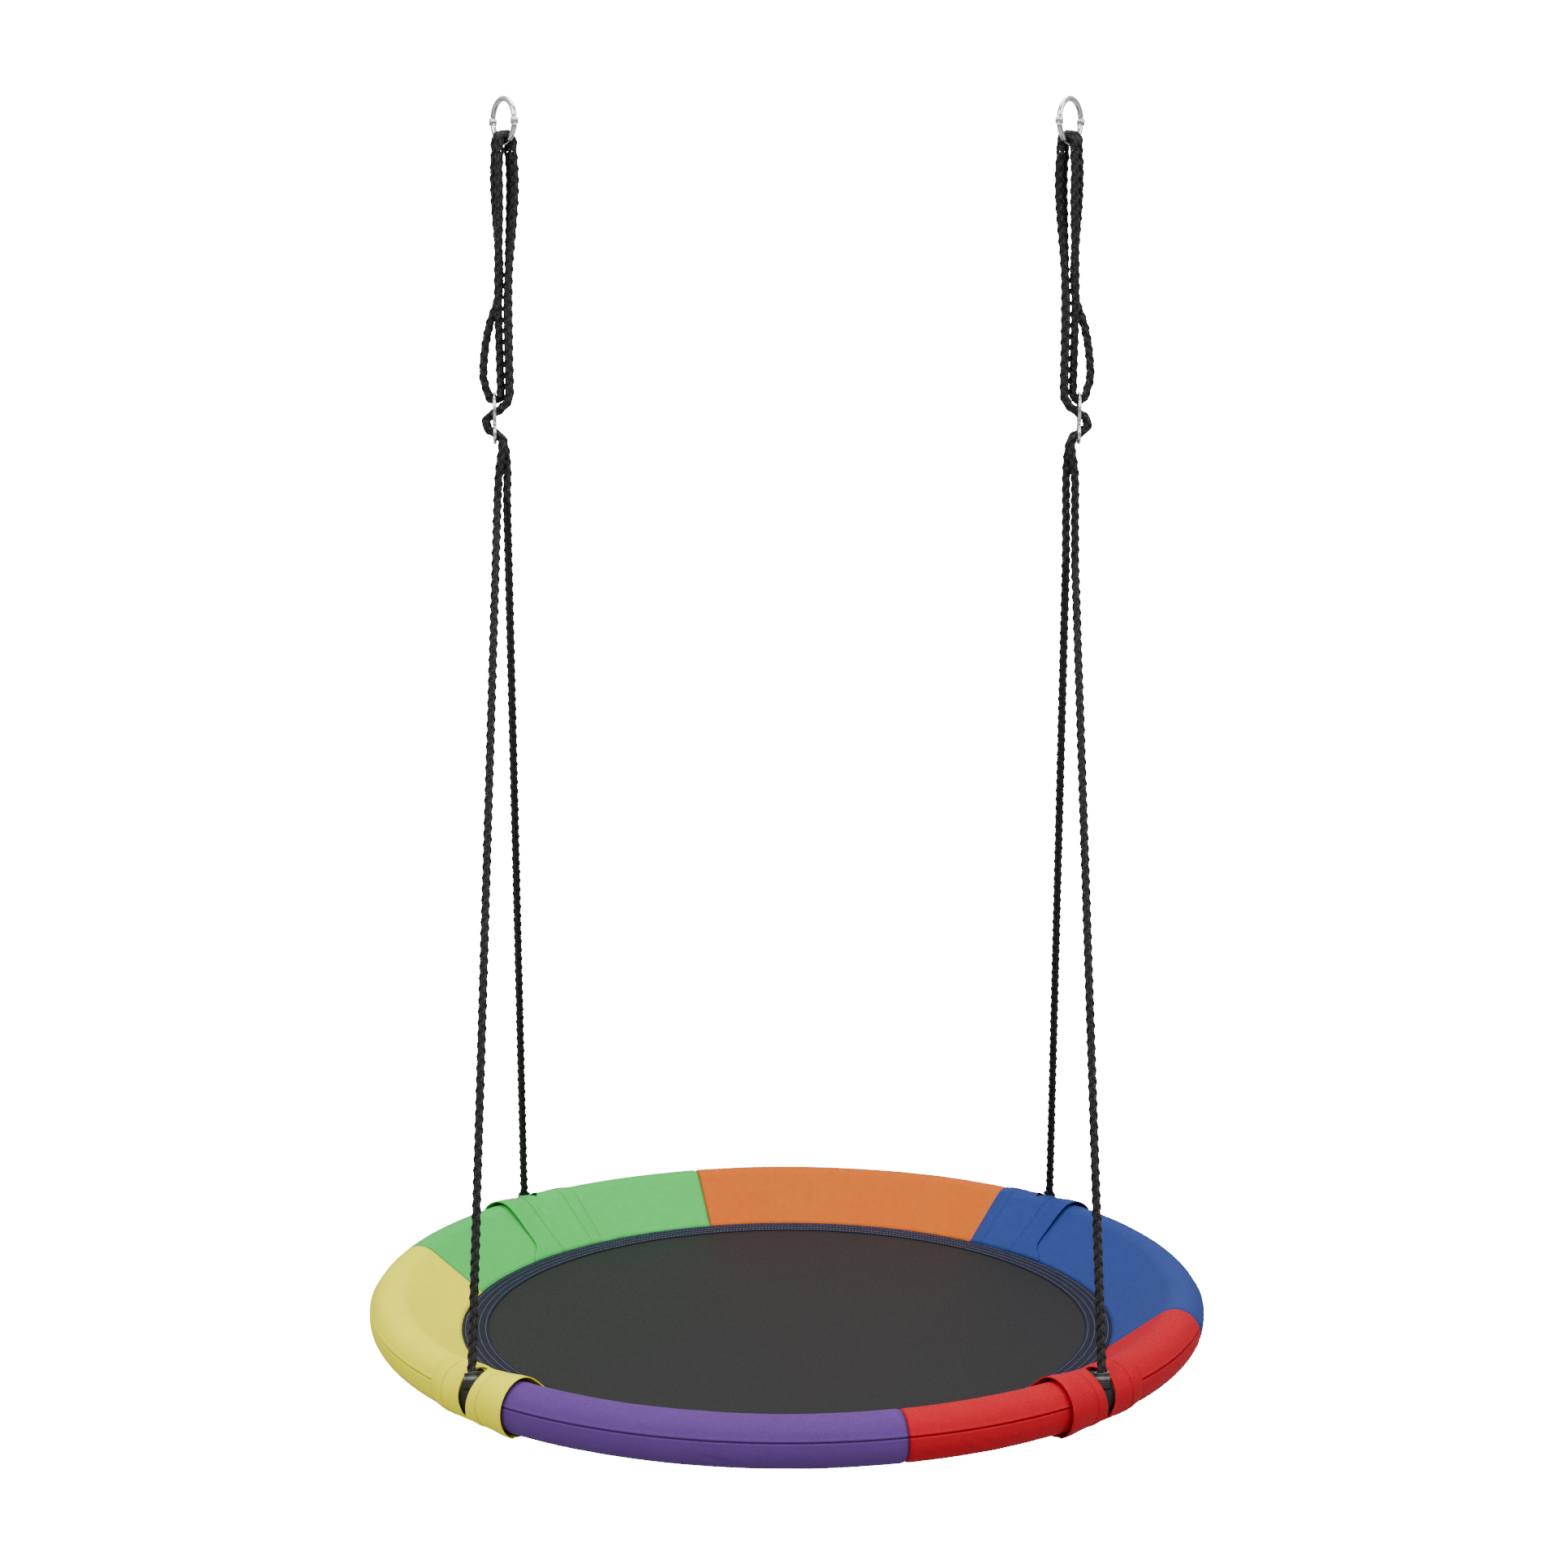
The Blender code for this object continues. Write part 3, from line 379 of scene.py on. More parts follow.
def cloth_material(name, colour, pitch=0.0011, roughness=0.62, depth=0.00012, spread=0.16):
    """Coated woven cloth with a fine thread, soft unevenness, painted shade in the gaps between the threads,
    and painted shade along the seams, panel edges and stitch lines.
    """
    material, tree, shader = new_material(name, roughness)
    weave = use_group(tree, shared_group("plain weave", weave_group), Vector=coordinates(tree, "UV"))
    weave_node = weave[0].node
    weave_node.inputs["Thread Pitch"].default_value = pitch
    place = coordinates(tree)
    broad = use_group(tree, shared_group("mottle", mottle_group), Vector=place, Scale=9.0, Spread=spread)
    fine = use_group(tree, shared_group("mottle", mottle_group), Vector=place, Scale=140.0, Spread=spread)
    shares = calc(tree, "MULTIPLY", broad["Factor"], fine["Factor"])
    base = vector_calc(tree, "SCALE", colour, scale=shares)
    # Painted shade: the colour is darkened in the gaps between the threads
    gap_shade = blend_colours(tree, calc(tree, "MULTIPLY", weave["Gaps"], 0.30), base, shade(colour, 0.45))
    # Painted shade: the seam value darkens the cloth along seams, panel edges and stitch lines
    seam = named_value(tree, "seam")
    seam_shaded = blend_colours(tree, calc(tree, "MULTIPLY", seam, 0.75), gap_shade, shade(colour, 0.30))
    tree.links.new(seam_shaded, shader.inputs["Base Color"])
    rough = calc(tree, "MULTIPLY_ADD", broad["Raw"], 0.18, roughness - 0.09)
    tree.links.new(rough, shader.inputs["Roughness"])
    shader.inputs["Specular IOR Level"].default_value = 0.12
    height = calc(tree, "MULTIPLY_ADD", fine["Raw"], 0.6, weave["Height"])
    add_bump(tree, shader, height, depth)
    return material


def rope_material(colour):
    """Black filament rope: fine filaments along each strand, with a soft gloss."""
    material, tree, shader = new_material("braided rope", 0.34)
    lay = tree.nodes.new("ShaderNodeSeparateXYZ")
    tree.links.new(named_value(tree, "strand_map", "Vector"), lay.inputs[0])
    turned = calc(tree, "MULTIPLY_ADD", lay.outputs[1], 14.0, calc(tree, "MULTIPLY", lay.outputs[0], 160.0))
    filament = calc(tree, "SINE", calc(tree, "MULTIPLY", turned, 2 * math.pi))
    place = coordinates(tree)
    fuzz = use_group(tree, shared_group("mottle", mottle_group), Vector=place, Scale=900.0, Spread=1.0)
    broad = use_group(tree, shared_group("mottle", mottle_group), Vector=place, Scale=45.0, Spread=1.0)
    share = map_range(tree, calc(tree, "MULTIPLY", fuzz["Raw"], broad["Raw"]), 0.12, 0.42, 0.0, 1.0)
    base = blend_colours(tree, share, shade(colour, 0.55), shade(colour, 2.6))
    tree.links.new(base, shader.inputs["Base Color"])
    rough = map_range(tree, broad["Raw"], 0.3, 0.7, 0.20, 0.42)
    tree.links.new(rough, shader.inputs["Roughness"])
    shader.inputs["Specular IOR Level"].default_value = 0.42
    height = calc(tree, "MULTIPLY_ADD", filament, 0.35, fuzz["Raw"])
    add_bump(tree, shader, height, 0.00022)
    return material


def webbing_material(colour):
    """Ribbed polyester webbing with paler woven edges, and painted shade in the grooves between the ribs."""
    material, tree, shader = new_material("webbing", 0.55)
    parts = tree.nodes.new("ShaderNodeSeparateXYZ")
    tree.links.new(coordinates(tree, "UV"), parts.inputs[0])
    rib = calc(tree, "SINE", calc(tree, "MULTIPLY", parts.outputs[0], 2 * math.pi / 0.0018))
    cross = calc(tree, "SINE", calc(tree, "MULTIPLY", parts.outputs[1], 2 * math.pi / 0.0024))
    height = calc(tree, "MULTIPLY_ADD", cross, 0.4, rib)
    place = coordinates(tree)
    wear = use_group(tree, shared_group("mottle", mottle_group), Vector=place, Scale=260.0, Spread=0.5)
    base = vector_calc(tree, "SCALE", colour, scale=wear["Factor"])
    # Painted shade: the colour is darkened in the grooves between the ribs
    rib_shaded = blend_colours(tree, map_range(tree, height, -1.2, 0.2, 0.6, 0.0), base, shade(colour, 0.35))
    edge = named_value(tree, "seam")
    piped = blend_colours(tree, edge, rib_shaded, (0.30, 0.30, 0.31, 1.0))
    tree.links.new(piped, shader.inputs["Base Color"])
    rough = map_range(tree, wear["Raw"], 0.3, 0.7, 0.45, 0.65)
    tree.links.new(rough, shader.inputs["Roughness"])
    add_bump(tree, shader, height, 0.00018)
    return material


def plated_material(name, colour, roughness, depth=0.00003):
    """Bright plated steel with fine scratches and slightly dull patches."""
    material, tree, shader = new_material(name, roughness, 1.0)
    place = coordinates(tree)
    marks = use_group(tree, shared_group("metal marks", scratch_group), Vector=place)
    dull = use_group(tree, shared_group("mottle", mottle_group), Vector=place, Scale=55.0, Spread=0.12)
    base = vector_calc(tree, "SCALE", colour, scale=dull["Factor"])
    worn = blend_colours(tree, calc(tree, "MULTIPLY", marks["Mask"], 0.5), base, shade(colour, 0.55))
    tree.links.new(worn, shader.inputs["Base Color"])
    rough = calc(tree, "MULTIPLY_ADD", marks["Mask"], 0.30, roughness)
    tree.links.new(rough, shader.inputs["Roughness"])
    add_bump(tree, shader, marks["Height"], depth)
    return material


def foam_material(colour):
    """Closed-cell foam with small cells."""
    material, tree, shader = new_material("foam", 0.95)
    cells = tree.nodes.new("ShaderNodeTexVoronoi")
    cells.inputs["Scale"].default_value = 900.0
    tree.links.new(coordinates(tree), cells.inputs["Vector"])
    ramp = map_range(tree, cells.outputs["Distance"], 0.0, 0.6, 0.0, 1.0)
    base = blend_colours(tree, ramp, shade(colour, 1.25), shade(colour, 0.7))
    tree.links.new(base, shader.inputs["Base Color"])
    add_bump(tree, shader, cells.outputs["Distance"], 0.0004)
    return material


def thread_material(name, colour):
    """Twisted sewing thread."""
    material, tree, shader = new_material(name, 0.5)
    place = coordinates(tree)
    twist = use_group(tree, shared_group("mottle", mottle_group), Vector=place, Scale=1500.0, Spread=0.6)
    tree.links.new(vector_calc(tree, "SCALE", colour, scale=twist["Factor"]), shader.inputs["Base Color"])
    add_bump(tree, shader, twist["Raw"], 0.0001)
    return material


def floor_material(colour):
    """Pale matt floor that reads as white as the sky behind it."""
    material, tree, shader = new_material("floor", 0.8)
    place = coordinates(tree)
    cloud = use_group(tree, shared_group("mottle", mottle_group), Vector=place, Scale=0.6, Spread=0.02)
    tree.links.new(vector_calc(tree, "SCALE", colour, scale=cloud["Factor"]), shader.inputs["Base Color"])
    shader.inputs["Specular IOR Level"].default_value = 0.1
    seen = tree.nodes.new("ShaderNodeLightPath").outputs["Is Camera Ray"]
    tree.links.new(seen, shader.inputs["Emission Color"])
    shader.inputs["Emission Strength"].default_value = BACKDROP_LIGHT - 0.6
    return material


def finish(name):
    """The finish of that name, made on first use from the panel's colours."""
    key = "swing " + name
    found = bpy.data.materials.get(key)
    if found:
        return found
    colours = bpy.context.scene.swing_colours
    if name == "rope":
        made = rope_material(tuple(colours.rope))
    elif name == "webbing":
        made = webbing_material(tuple(colours.webbing))
    elif name == "chrome":
        made = plated_material(name, tuple(colours.metal), 0.10)
    elif name == "zinc":
        made = plated_material(name, tuple(colours.metal), 0.30)
    elif name == "steel":
        made = plated_material(name, tuple(colours.steel), 0.38, 0.0001)
    elif name == "foam":
        made = foam_material(tuple(colours.foam))
    elif name == "floor":
        made = floor_material(tuple(colours.floor))
    elif name == "hem thread":
        made = thread_material(name, tuple(colours.thread))
    elif name.endswith(" thread"):
        made = thread_material(name, [0.62 * part for part in getattr(colours, name[:-7])])
    elif name == "mat":
        made = cloth_material(name, tuple(colours.mat), 0.0016, 0.58, 0.0003, 0.22)
    elif name == "hem":
        made = cloth_material(name, tuple(colours.hem), 0.0012, 0.66, 0.0002, 0.22)
    else:
        made = cloth_material(name, tuple(getattr(colours, name)))
    made.name = key
    return made


# Mesh helpers -------------------------------------------------------------------------------------


def add_piece(name, data, material=None):
    """Link a new object to the scene."""
    item = bpy.data.objects.new(name, data)
    bpy.context.scene.collection.objects.link(item)
    if material:
        data.materials.append(material)
    return item


def smooth_faces(data):
    """Shade a mesh smooth."""
    data.polygons.foreach_set("use_smooth", [True] * len(data.polygons))
    data.update()


def grid_data(name, rows, maps, shade_and_edge_marks, keep=None):
    """A mesh with a quad between each four neighbours of rows of points."""
    width = len(rows[0])
    points = [point for row in rows for point in row]
    faces = []
    for i in range(len(rows) - 1):
        for j in range(width - 1):
            if keep is None or keep(i, j):
                start = i * width + j
                faces.append((start, start + 1, start + width + 1, start + width))
    data = bpy.data.meshes.new(name)
    data.from_pydata(points, [], faces)
    flat = [spot for row in maps for spot in row]
    layer = data.uv_layers.new(name="cloth")
    for loop in data.loops:
        layer.data[loop.index].uv = flat[loop.vertex_index]
    # The seam value: painted shade along seams and edges on the cloth finishes, and paler woven edges on the
    # webbing
    mark = data.attributes.new("seam", "FLOAT", "POINT")
    mark.data.foreach_set("value", [value for row in shade_and_edge_marks for value in row])
    shape = bmesh.new()
    shape.from_mesh(data)
    loose = [vertex for vertex in shape.verts if not vertex.link_faces]
    bmesh.ops.delete(shape, geom=loose, context="VERTS")
    bmesh.ops.remove_doubles(shape, verts=shape.verts, dist=0.00002)
    shape.to_mesh(data)
    shape.free()
    smooth_faces(data)
    return data


def apply_modifiers(item):
    """Turn an object and its modifiers into a plain mesh object of the same name."""
    graph = bpy.context.evaluated_depsgraph_get()
    data = bpy.data.meshes.new_from_object(item.evaluated_get(graph), depsgraph=graph)
    name = item.name
    slots = [slot.material for slot in item.material_slots]
    bpy.data.objects.remove(item, do_unlink=True)
    data.name = name
    made = add_piece(name, data)
    if not data.materials:
        for material in slots:
            data.materials.append(material)
    return made


def thicken(item, wall, offset=-1.0):
    """Give a sheet its wall, and make it a plain mesh."""
    solid = item.modifiers.new("Wall", "SOLIDIFY")
    solid.thickness = wall
    solid.offset = offset
    solid.use_quality_normals = True
    return apply_modifiers(item)


def join_parts(name, shapes, material):
    """Join bmesh shapes into one piece."""
    joined = bmesh.new()
    for shape in shapes:
        data = bpy.data.meshes.new("part")
        shape.to_mesh(data)
        shape.free()
        joined.from_mesh(data)
        bpy.data.meshes.remove(data)
    data = bpy.data.meshes.new(name)
    joined.to_mesh(data)
    joined.free()
    smooth_faces(data)
    return add_piece(name, data, material)


def place_piece(item, body, nodes):
    """Hand a finished piece to its body."""
    if nodes:
        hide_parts(*nodes)
    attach(item, body)
    return item


def smoothstep(low, high, value):
    """A soft step from 0 at low to 1 at high."""
    share = min(1.0, max(0.0, (value - low) / (high - low)))
    return share * share * (3 - 2 * share)


def bell(distance, width):
    """A soft bump, 1 in its middle."""
    return math.exp(-0.5 * (distance / width) ** 2)


def ridge(spot, start, end, width):
    """A soft line between two points of a flat sheet."""
    line = Vector(end) - Vector(start)
    away = Vector(spot) - Vector(start)
    share = min(1.0, max(0.0, away.dot(line) / line.length_squared))
    distance = (away - line * share).length
    return bell(distance, width) * math.sin(math.pi * (0.15 + 0.7 * share))


def sweep(points, radius, sides=14, closed=False, taper=0.0):
    """A round wire along points, as a bmesh, with its ends rounded over the taper length."""
    shape = bmesh.new()
    count = len(points)
    spots = [Vector(point) for point in points]
    normal = None
    rings = []
    lengths = [0.0]
    for low, high in zip(spots, spots[1:]):
        lengths.append(lengths[-1] + (high - low).length)
    for i, spot in enumerate(spots):
        if closed:
            tangent = (spots[(i + 1) % count] - spots[i - 1]).normalized()
        else:
            tangent = (spots[min(i + 1, count - 1)] - spots[max(i - 1, 0)]).normalized()
        if normal is None:
            normal = tangent.orthogonal().normalized()
        normal = (normal - tangent * normal.dot(tangent)).normalized()
        side = tangent.cross(normal)
        near = min(lengths[i], lengths[-1] - lengths[i])
        share = 1.0
        if taper and near < taper:
            share = math.sqrt(max(0.0004, 1 - (1 - near / taper) ** 2))
        ring = []
        for k in range(sides):
            angle = 2 * math.pi * k / sides
            offset = normal * math.cos(angle) + side * math.sin(angle)
            ring.append(shape.verts.new(spot + offset * radius * share))
        rings.append(ring)
    pairs = list(zip(rings, rings[1:]))
    if closed:
        pairs.append((rings[-1], best_turn(rings[-1], rings[0])))
    for low, high in pairs:
        for k in range(sides):
            after = (k + 1) % sides
            shape.faces.new((low[k], low[after], high[after], high[k]))
    if not closed:
        shape.faces.new(rings[0][::-1])
        shape.faces.new(rings[-1])
    return shape


def best_turn(low, high):
    """The order of a ring's corners that meets another ring with the least twist."""
    count = len(low)
    options = [high[k:] + high[:k] for k in range(count)]
    return min(options, key=lambda order: (order[0].co - low[0].co).length)


def plate(outline, low, high, bevel=0.0005):
    """A flat plate from an outline in XZ between two Y values, with rounded edges."""
    shape = bmesh.new()
    bottom = [shape.verts.new((x, low, z)) for x, z in outline]
    top = [shape.verts.new((x, high, z)) for x, z in outline]
    shape.faces.new(bottom)
    shape.faces.new(top[::-1])
    count = len(outline)
    for k in range(count):
        after = (k + 1) % count
        shape.faces.new((bottom[after], bottom[k], top[k], top[after]))
    bmesh.ops.recalc_face_normals(shape, faces=shape.faces)
    rims = [edge for edge in shape.edges if abs(edge.verts[0].co.y - edge.verts[1].co.y) < 1e-7]
    bmesh.ops.bevel(shape, geom=rims, offset=bevel, segments=2, affect="EDGES", profile=0.5)
    return shape


def lathe(outline, steps=24):
    """A turned shape about Y, from (radius, y) points."""
    shape = bmesh.new()
    rings = []
    for radius, height in outline:
        if radius < 1e-7:
            rings.append([shape.verts.new((0.0, height, 0.0))])
        else:
            angles = [2 * math.pi * k / steps for k in range(steps)]
            rings.append([
                shape.verts.new((radius * math.cos(at), height, radius * math.sin(at))) for at in angles
            ])
    for low, high in zip(rings, rings[1:]):
        for k in range(steps):
            after = (k + 1) % steps
            corners = [low[k % len(low)], low[after % len(low)], high[after % len(high)], high[k % len(high)]]
            shape.faces.new(list(dict.fromkeys(corners)))
    bmesh.ops.recalc_face_normals(shape, faces=shape.faces)
    return shape


# Geometry node trees ------------------------------------------------------------------------------


def set_input(modifier, name, value):
    """Set a modifier's named input by its identifier."""
    for socket in modifier.node_group.interface.items_tree:
        if socket.in_out == "INPUT" and socket.name == name:
            modifier[socket.identifier] = value
            return
    raise ValueError("no input named " + name)


def run_tree(item, tree, values):
    """Run a tree on an object and keep its result as a plain mesh."""
    modifier = item.modifiers.new(tree.name, "NODES")
    modifier.node_group = tree
    for name, value in values.items():
        set_input(modifier, name, value)
    item.update_tag()
    bpy.context.view_layer.update()
    return apply_modifiers(item)


def capture(tree, geometry, kind, name, value, domain="POINT"):
    """Keep a field's value on a geometry, and return the geometry and the value."""
    item = tree.nodes.new("GeometryNodeCaptureAttribute")
    item.domain = domain
    item.capture_items.new(kind, name)
    tree.links.new(geometry, item.inputs[0])
    tree.links.new(value, item.inputs[name])
    return item.outputs[0], item.outputs[name]


def round_profile(tree, sides, width, depth):
    """An oval profile curve, with its own factor captured."""
    circle = tree.nodes.new("GeometryNodeCurvePrimitiveCircle")
    circle.inputs["Resolution"].default_value = sides
    circle.inputs["Radius"].default_value = 0.5
    size = tree.nodes.new("ShaderNodeCombineXYZ")
    feed(tree, width, size.inputs[0])
    feed(tree, depth, size.inputs[1])
    size.inputs[2].default_value = 1.0
    stretch = tree.nodes.new("GeometryNodeTransform")
    tree.links.new(circle.outputs["Curve"], stretch.inputs["Geometry"])
    tree.links.new(size.outputs[0], stretch.inputs["Scale"])
    factor = tree.nodes.new("GeometryNodeSplineParameter").outputs["Factor"]
    return capture(tree, stretch.outputs["Geometry"], "FLOAT", "Around", factor)


def curve_to_mesh(tree, curve, profile):
    """Sweep a profile along a curve, with its ends closed."""
    item = tree.nodes.new("GeometryNodeCurveToMesh")
    tree.links.new(curve, item.inputs["Curve"])
    tree.links.new(profile, item.inputs["Profile Curve"])
    item.inputs["Fill Caps"].default_value = True
    return item.outputs["Mesh"]


def end_tree(tree, parts, material, result):
    """Join parts, shade them smooth, realize them and give them their finish."""
    join = tree.nodes.new("GeometryNodeJoinGeometry")
    for part in parts:
        tree.links.new(part, join.inputs[0])
    smooth = tree.nodes.new("GeometryNodeSetShadeSmooth")
    tree.links.new(join.outputs[0], smooth.inputs["Geometry"])
    real = tree.nodes.new("GeometryNodeRealizeInstances")
    tree.links.new(smooth.outputs[0], real.inputs["Geometry"])
    coat = tree.nodes.new("GeometryNodeSetMaterial")
    tree.links.new(real.outputs[0], coat.inputs["Geometry"])
    tree.links.new(material, coat.inputs["Material"])
    tree.links.new(coat.outputs[0], result.inputs[0])


def braid_tree():
    """Braided rope: strands in both directions, over and under each other, round a core."""
    inputs = [
        ("Geometry", "NodeSocketGeometry", None),
        ("Rope Radius", "NodeSocketFloat", 0.005),
        ("Strand Width", "NodeSocketFloat", 0.004),
        ("Strand Depth", "NodeSocketFloat", 0.0025),
        ("Lay Length", "NodeSocketFloat", 0.05),
        ("Strands Each Way", "NodeSocketInt", 4),
        ("Step", "NodeSocketFloat", 0.0022),
        ("Finish", "NodeSocketMaterial", None),
    ]
    tree, given, result = new_group(
        "braided rope", "GeometryNodeTree", inputs, [("Geometry", "NodeSocketGeometry")]
    )
    value = given.outputs
    steps = tree.nodes.new("GeometryNodeResampleCurve")
    steps.mode = "LENGTH"
    tree.links.new(value["Geometry"], steps.inputs["Curve"])
    tree.links.new(value["Step"], steps.inputs["Length"])
    tangent = tree.nodes.new("GeometryNodeInputTangent").outputs[0]
    normal = tree.nodes.new("GeometryNodeInputNormal").outputs[0]
    length = tree.nodes.new("GeometryNodeSplineParameter").outputs["Length"]
    line, along = capture(tree, steps.outputs[0], "FLOAT", "Along", length)
    line, across = capture(tree, line, "VECTOR", "Across", normal)
    line, ahead = capture(tree, line, "VECTOR", "Ahead", tangent)
    copies = tree.nodes.new("GeometryNodeDuplicateElements")
    copies.domain = "SPLINE"
    tree.links.new(line, copies.inputs["Geometry"])
    amount = calc(tree, "MULTIPLY", value["Strands Each Way"], 2.0)
    tree.links.new(amount, copies.inputs["Amount"])
    index = copies.outputs["Duplicate Index"]
    way = calc(tree, "MULTIPLY_ADD", calc(tree, "MODULO", index, 2.0), -2.0, 1.0)
    number = calc(tree, "FLOOR", calc(tree, "DIVIDE", index, 2.0))
    turn = calc(tree, "MULTIPLY", calc(tree, "DIVIDE", along, value["Lay Length"]), 2 * math.pi)
    spacing = calc(tree, "DIVIDE", 2 * math.pi, value["Strands Each Way"])
    angle = calc(tree, "MULTIPLY_ADD", turn, way, calc(tree, "MULTIPLY", number, spacing))
    binormal = vector_calc(tree, "CROSS_PRODUCT", ahead, across)
    first = vector_calc(tree, "SCALE", across, scale=calc(tree, "COSINE", angle))
    second = vector_calc(tree, "SCALE", binormal, scale=calc(tree, "SINE", angle))
    outward = vector_calc(tree, "ADD", first, second)
    wave = calc(tree, "COSINE", calc(tree, "MULTIPLY", turn, value["Strands Each Way"]))
    lift = calc(tree, "MULTIPLY", value["Strand Depth"], 0.32)
    rise = calc(tree, "MULTIPLY", calc(tree, "MULTIPLY", wave, way), lift)
    half = calc(tree, "MULTIPLY", value["Strand Depth"], 0.5)
    middle = calc(tree, "SUBTRACT", calc(tree, "SUBTRACT", value["Rope Radius"], half), lift)
    offset = vector_calc(tree, "SCALE", outward, scale=calc(tree, "ADD", middle, rise))
    move = tree.nodes.new("GeometryNodeSetPosition")
    tree.links.new(copies.outputs["Geometry"], move.inputs["Geometry"])
    tree.links.new(offset, move.inputs["Offset"])
    facing = tree.nodes.new("GeometryNodeSetCurveNormal")
    facing.mode = "FREE"
    tree.links.new(move.outputs[0], facing.inputs["Curve"])
    tree.links.new(outward, facing.inputs["Normal"])
    profile, around = round_profile(tree, 7, value["Strand Depth"], value["Strand Width"])
    strands = curve_to_mesh(tree, facing.outputs[0], profile)
    core_width = calc(tree, "MULTIPLY", value["Rope Radius"], 1.32)
    core_profile, _ = round_profile(tree, 8, core_width, core_width)
    core = curve_to_mesh(tree, line, core_profile)
    spot = tree.nodes.new("ShaderNodeCombineXYZ")
    for socket, part in zip(spot.inputs, (along, around, index)):
        tree.links.new(part, socket)
    note = tree.nodes.new("GeometryNodeStoreNamedAttribute")
    note.data_type = "FLOAT_VECTOR"
    note.domain = "POINT"
    note.inputs["Name"].default_value = "strand_map"
    tree.links.new(strands, note.inputs["Geometry"])
    tree.links.new(spot.outputs[0], note.inputs["Value"])
    end_tree(tree, [note.outputs[0], core], value["Finish"], result)
    return tree


def stitch_tree():
    """Rows of stitches: one short thread loop after another along each line."""
    inputs = [
        ("Geometry", "NodeSocketGeometry", None),
        ("Stitch Length", "NodeSocketFloat", 0.003),
        ("Stitch Pitch", "NodeSocketFloat", 0.0043),
        ("Thread Radius", "NodeSocketFloat", 0.0004),
        ("Finish", "NodeSocketMaterial", None),
    ]
    tree, given, result = new_group(
        "stitch rows", "GeometryNodeTree", inputs, [("Geometry", "NodeSocketGeometry")]
    )
    value = given.outputs
    steps = tree.nodes.new("GeometryNodeResampleCurve")
    steps.mode = "LENGTH"
    tree.links.new(value["Geometry"], steps.inputs["Curve"])
    tree.links.new(value["Stitch Pitch"], steps.inputs["Length"])
    tangent = tree.nodes.new("GeometryNodeInputTangent").outputs[0]
    turn = tree.nodes.new("FunctionNodeAlignRotationToVector")
    turn.axis = "Z"
    tree.links.new(tangent, turn.inputs["Vector"])
    ball = tree.nodes.new("GeometryNodeMeshUVSphere")
    ball.inputs["Segments"].default_value = 6
    ball.inputs["Rings"].default_value = 4
    ball.inputs["Radius"].default_value = 1.0
    size = tree.nodes.new("ShaderNodeCombineXYZ")
    tree.links.new(value["Thread Radius"], size.inputs[0])
    tree.links.new(value["Thread Radius"], size.inputs[1])
    tree.links.new(calc(tree, "MULTIPLY", value["Stitch Length"], 0.5), size.inputs[2])
    put = tree.nodes.new("GeometryNodeInstanceOnPoints")
    tree.links.new(steps.outputs[0], put.inputs["Points"])
    tree.links.new(ball.outputs["Mesh"], put.inputs["Instance"])
    tree.links.new(turn.outputs[0], put.inputs["Rotation"])
    tree.links.new(size.outputs[0], put.inputs["Scale"])
    end_tree(tree, [put.outputs[0]], value["Finish"], result)
    return tree


def line_object(name, lines, closed=False):
    """A curve object with one straight-sided spline for each list of points."""
    data = bpy.data.curves.new(name, "CURVE")
    data.dimensions = "3D"
    for points in lines:
        spline = data.splines.new("POLY")
        spline.points.add(len(points) - 1)
        for spot, point in zip(spline.points, points):
            spot.co = (*point, 1.0)
        spline.use_cyclic_u = closed
    return add_piece(name, data)


def stitch_piece(name, lines, thread, closed=False):
    """Sew rows of stitches along lines."""
    sizes = bpy.context.scene.swing_sizes
    tree = bpy.data.node_groups.get("stitch rows") or stitch_tree()
    values = {
        "Stitch Length": sizes.stitch_length,
        "Stitch Pitch": sizes.stitch_pitch,
        "Thread Radius": sizes.thread_radius,
        "Finish": thread,
    }
    return run_tree(line_object(name, lines, closed), tree, values)


# Rope routes --------------------------------------------------------------------------------------


def point_on_rim(azimuth_degrees, distance=0.0, angle=0.0):
    """A point at a distance from the middle of the rim's tube, at an angle above level."""
    azimuth = math.radians(azimuth_degrees)
    out = PAD_CENTRE + distance * math.cos(angle)
    height = distance * math.sin(angle) - HANG_HEIGHT
    return Vector((out * math.cos(azimuth), out * math.sin(azimuth), height))


def rope_end(label, azimuth):
    """Where a rope ends in its pocket and the direction in which it leaves."""
    base = point_on_rim(azimuth, SLING_RADIUS, SLING_ANGLE)
    side = "left" if label.endswith("left") else "right"
    fork = Vector((SIDES[side] * (RING_X + 0.6 * ADJUSTER_OUT), 0.0, -FORK_DROP[side]))
    return base, (fork - base).normalized()


def ring_place(side, along, through, drop):
    """A point near a ring: along its plane, through its plane, and down from the hooks."""
    out = RING_X - along * math.cos(RING_TURN) + through * math.sin(RING_TURN)
    depth = -along * math.sin(RING_TURN) - through * math.cos(RING_TURN)
    return Vector((SIDES[side] * out, depth, -drop))


def adjuster_place(side, out, depth, rise):
    """A point near an adjuster, from its waist."""
    return Vector((SIDES[side] * (RING_X + ADJUSTER_OUT + out), depth, rise - ADJUSTER_DROP))


def upper_route(side, wrap, through):
    """The rope's route under one ring, from the turn on the wire to the bunch above the adjuster."""
    drop = RING_INNER_RADIUS - RING_BOTTOM
    along = wrap * WRAP_SPACING
    return [
        ring_place(side, along, through * WRAP_RADIUS, drop + WRAP_CUT + 3 * ROPE_GAP),
        ring_place(side, along, through * (WRAP_RADIUS + 0.0016), drop + 0.030),
        ring_place(side, along, through * (WRAP_RADIUS + 0.0014), drop + 0.060),
    ]


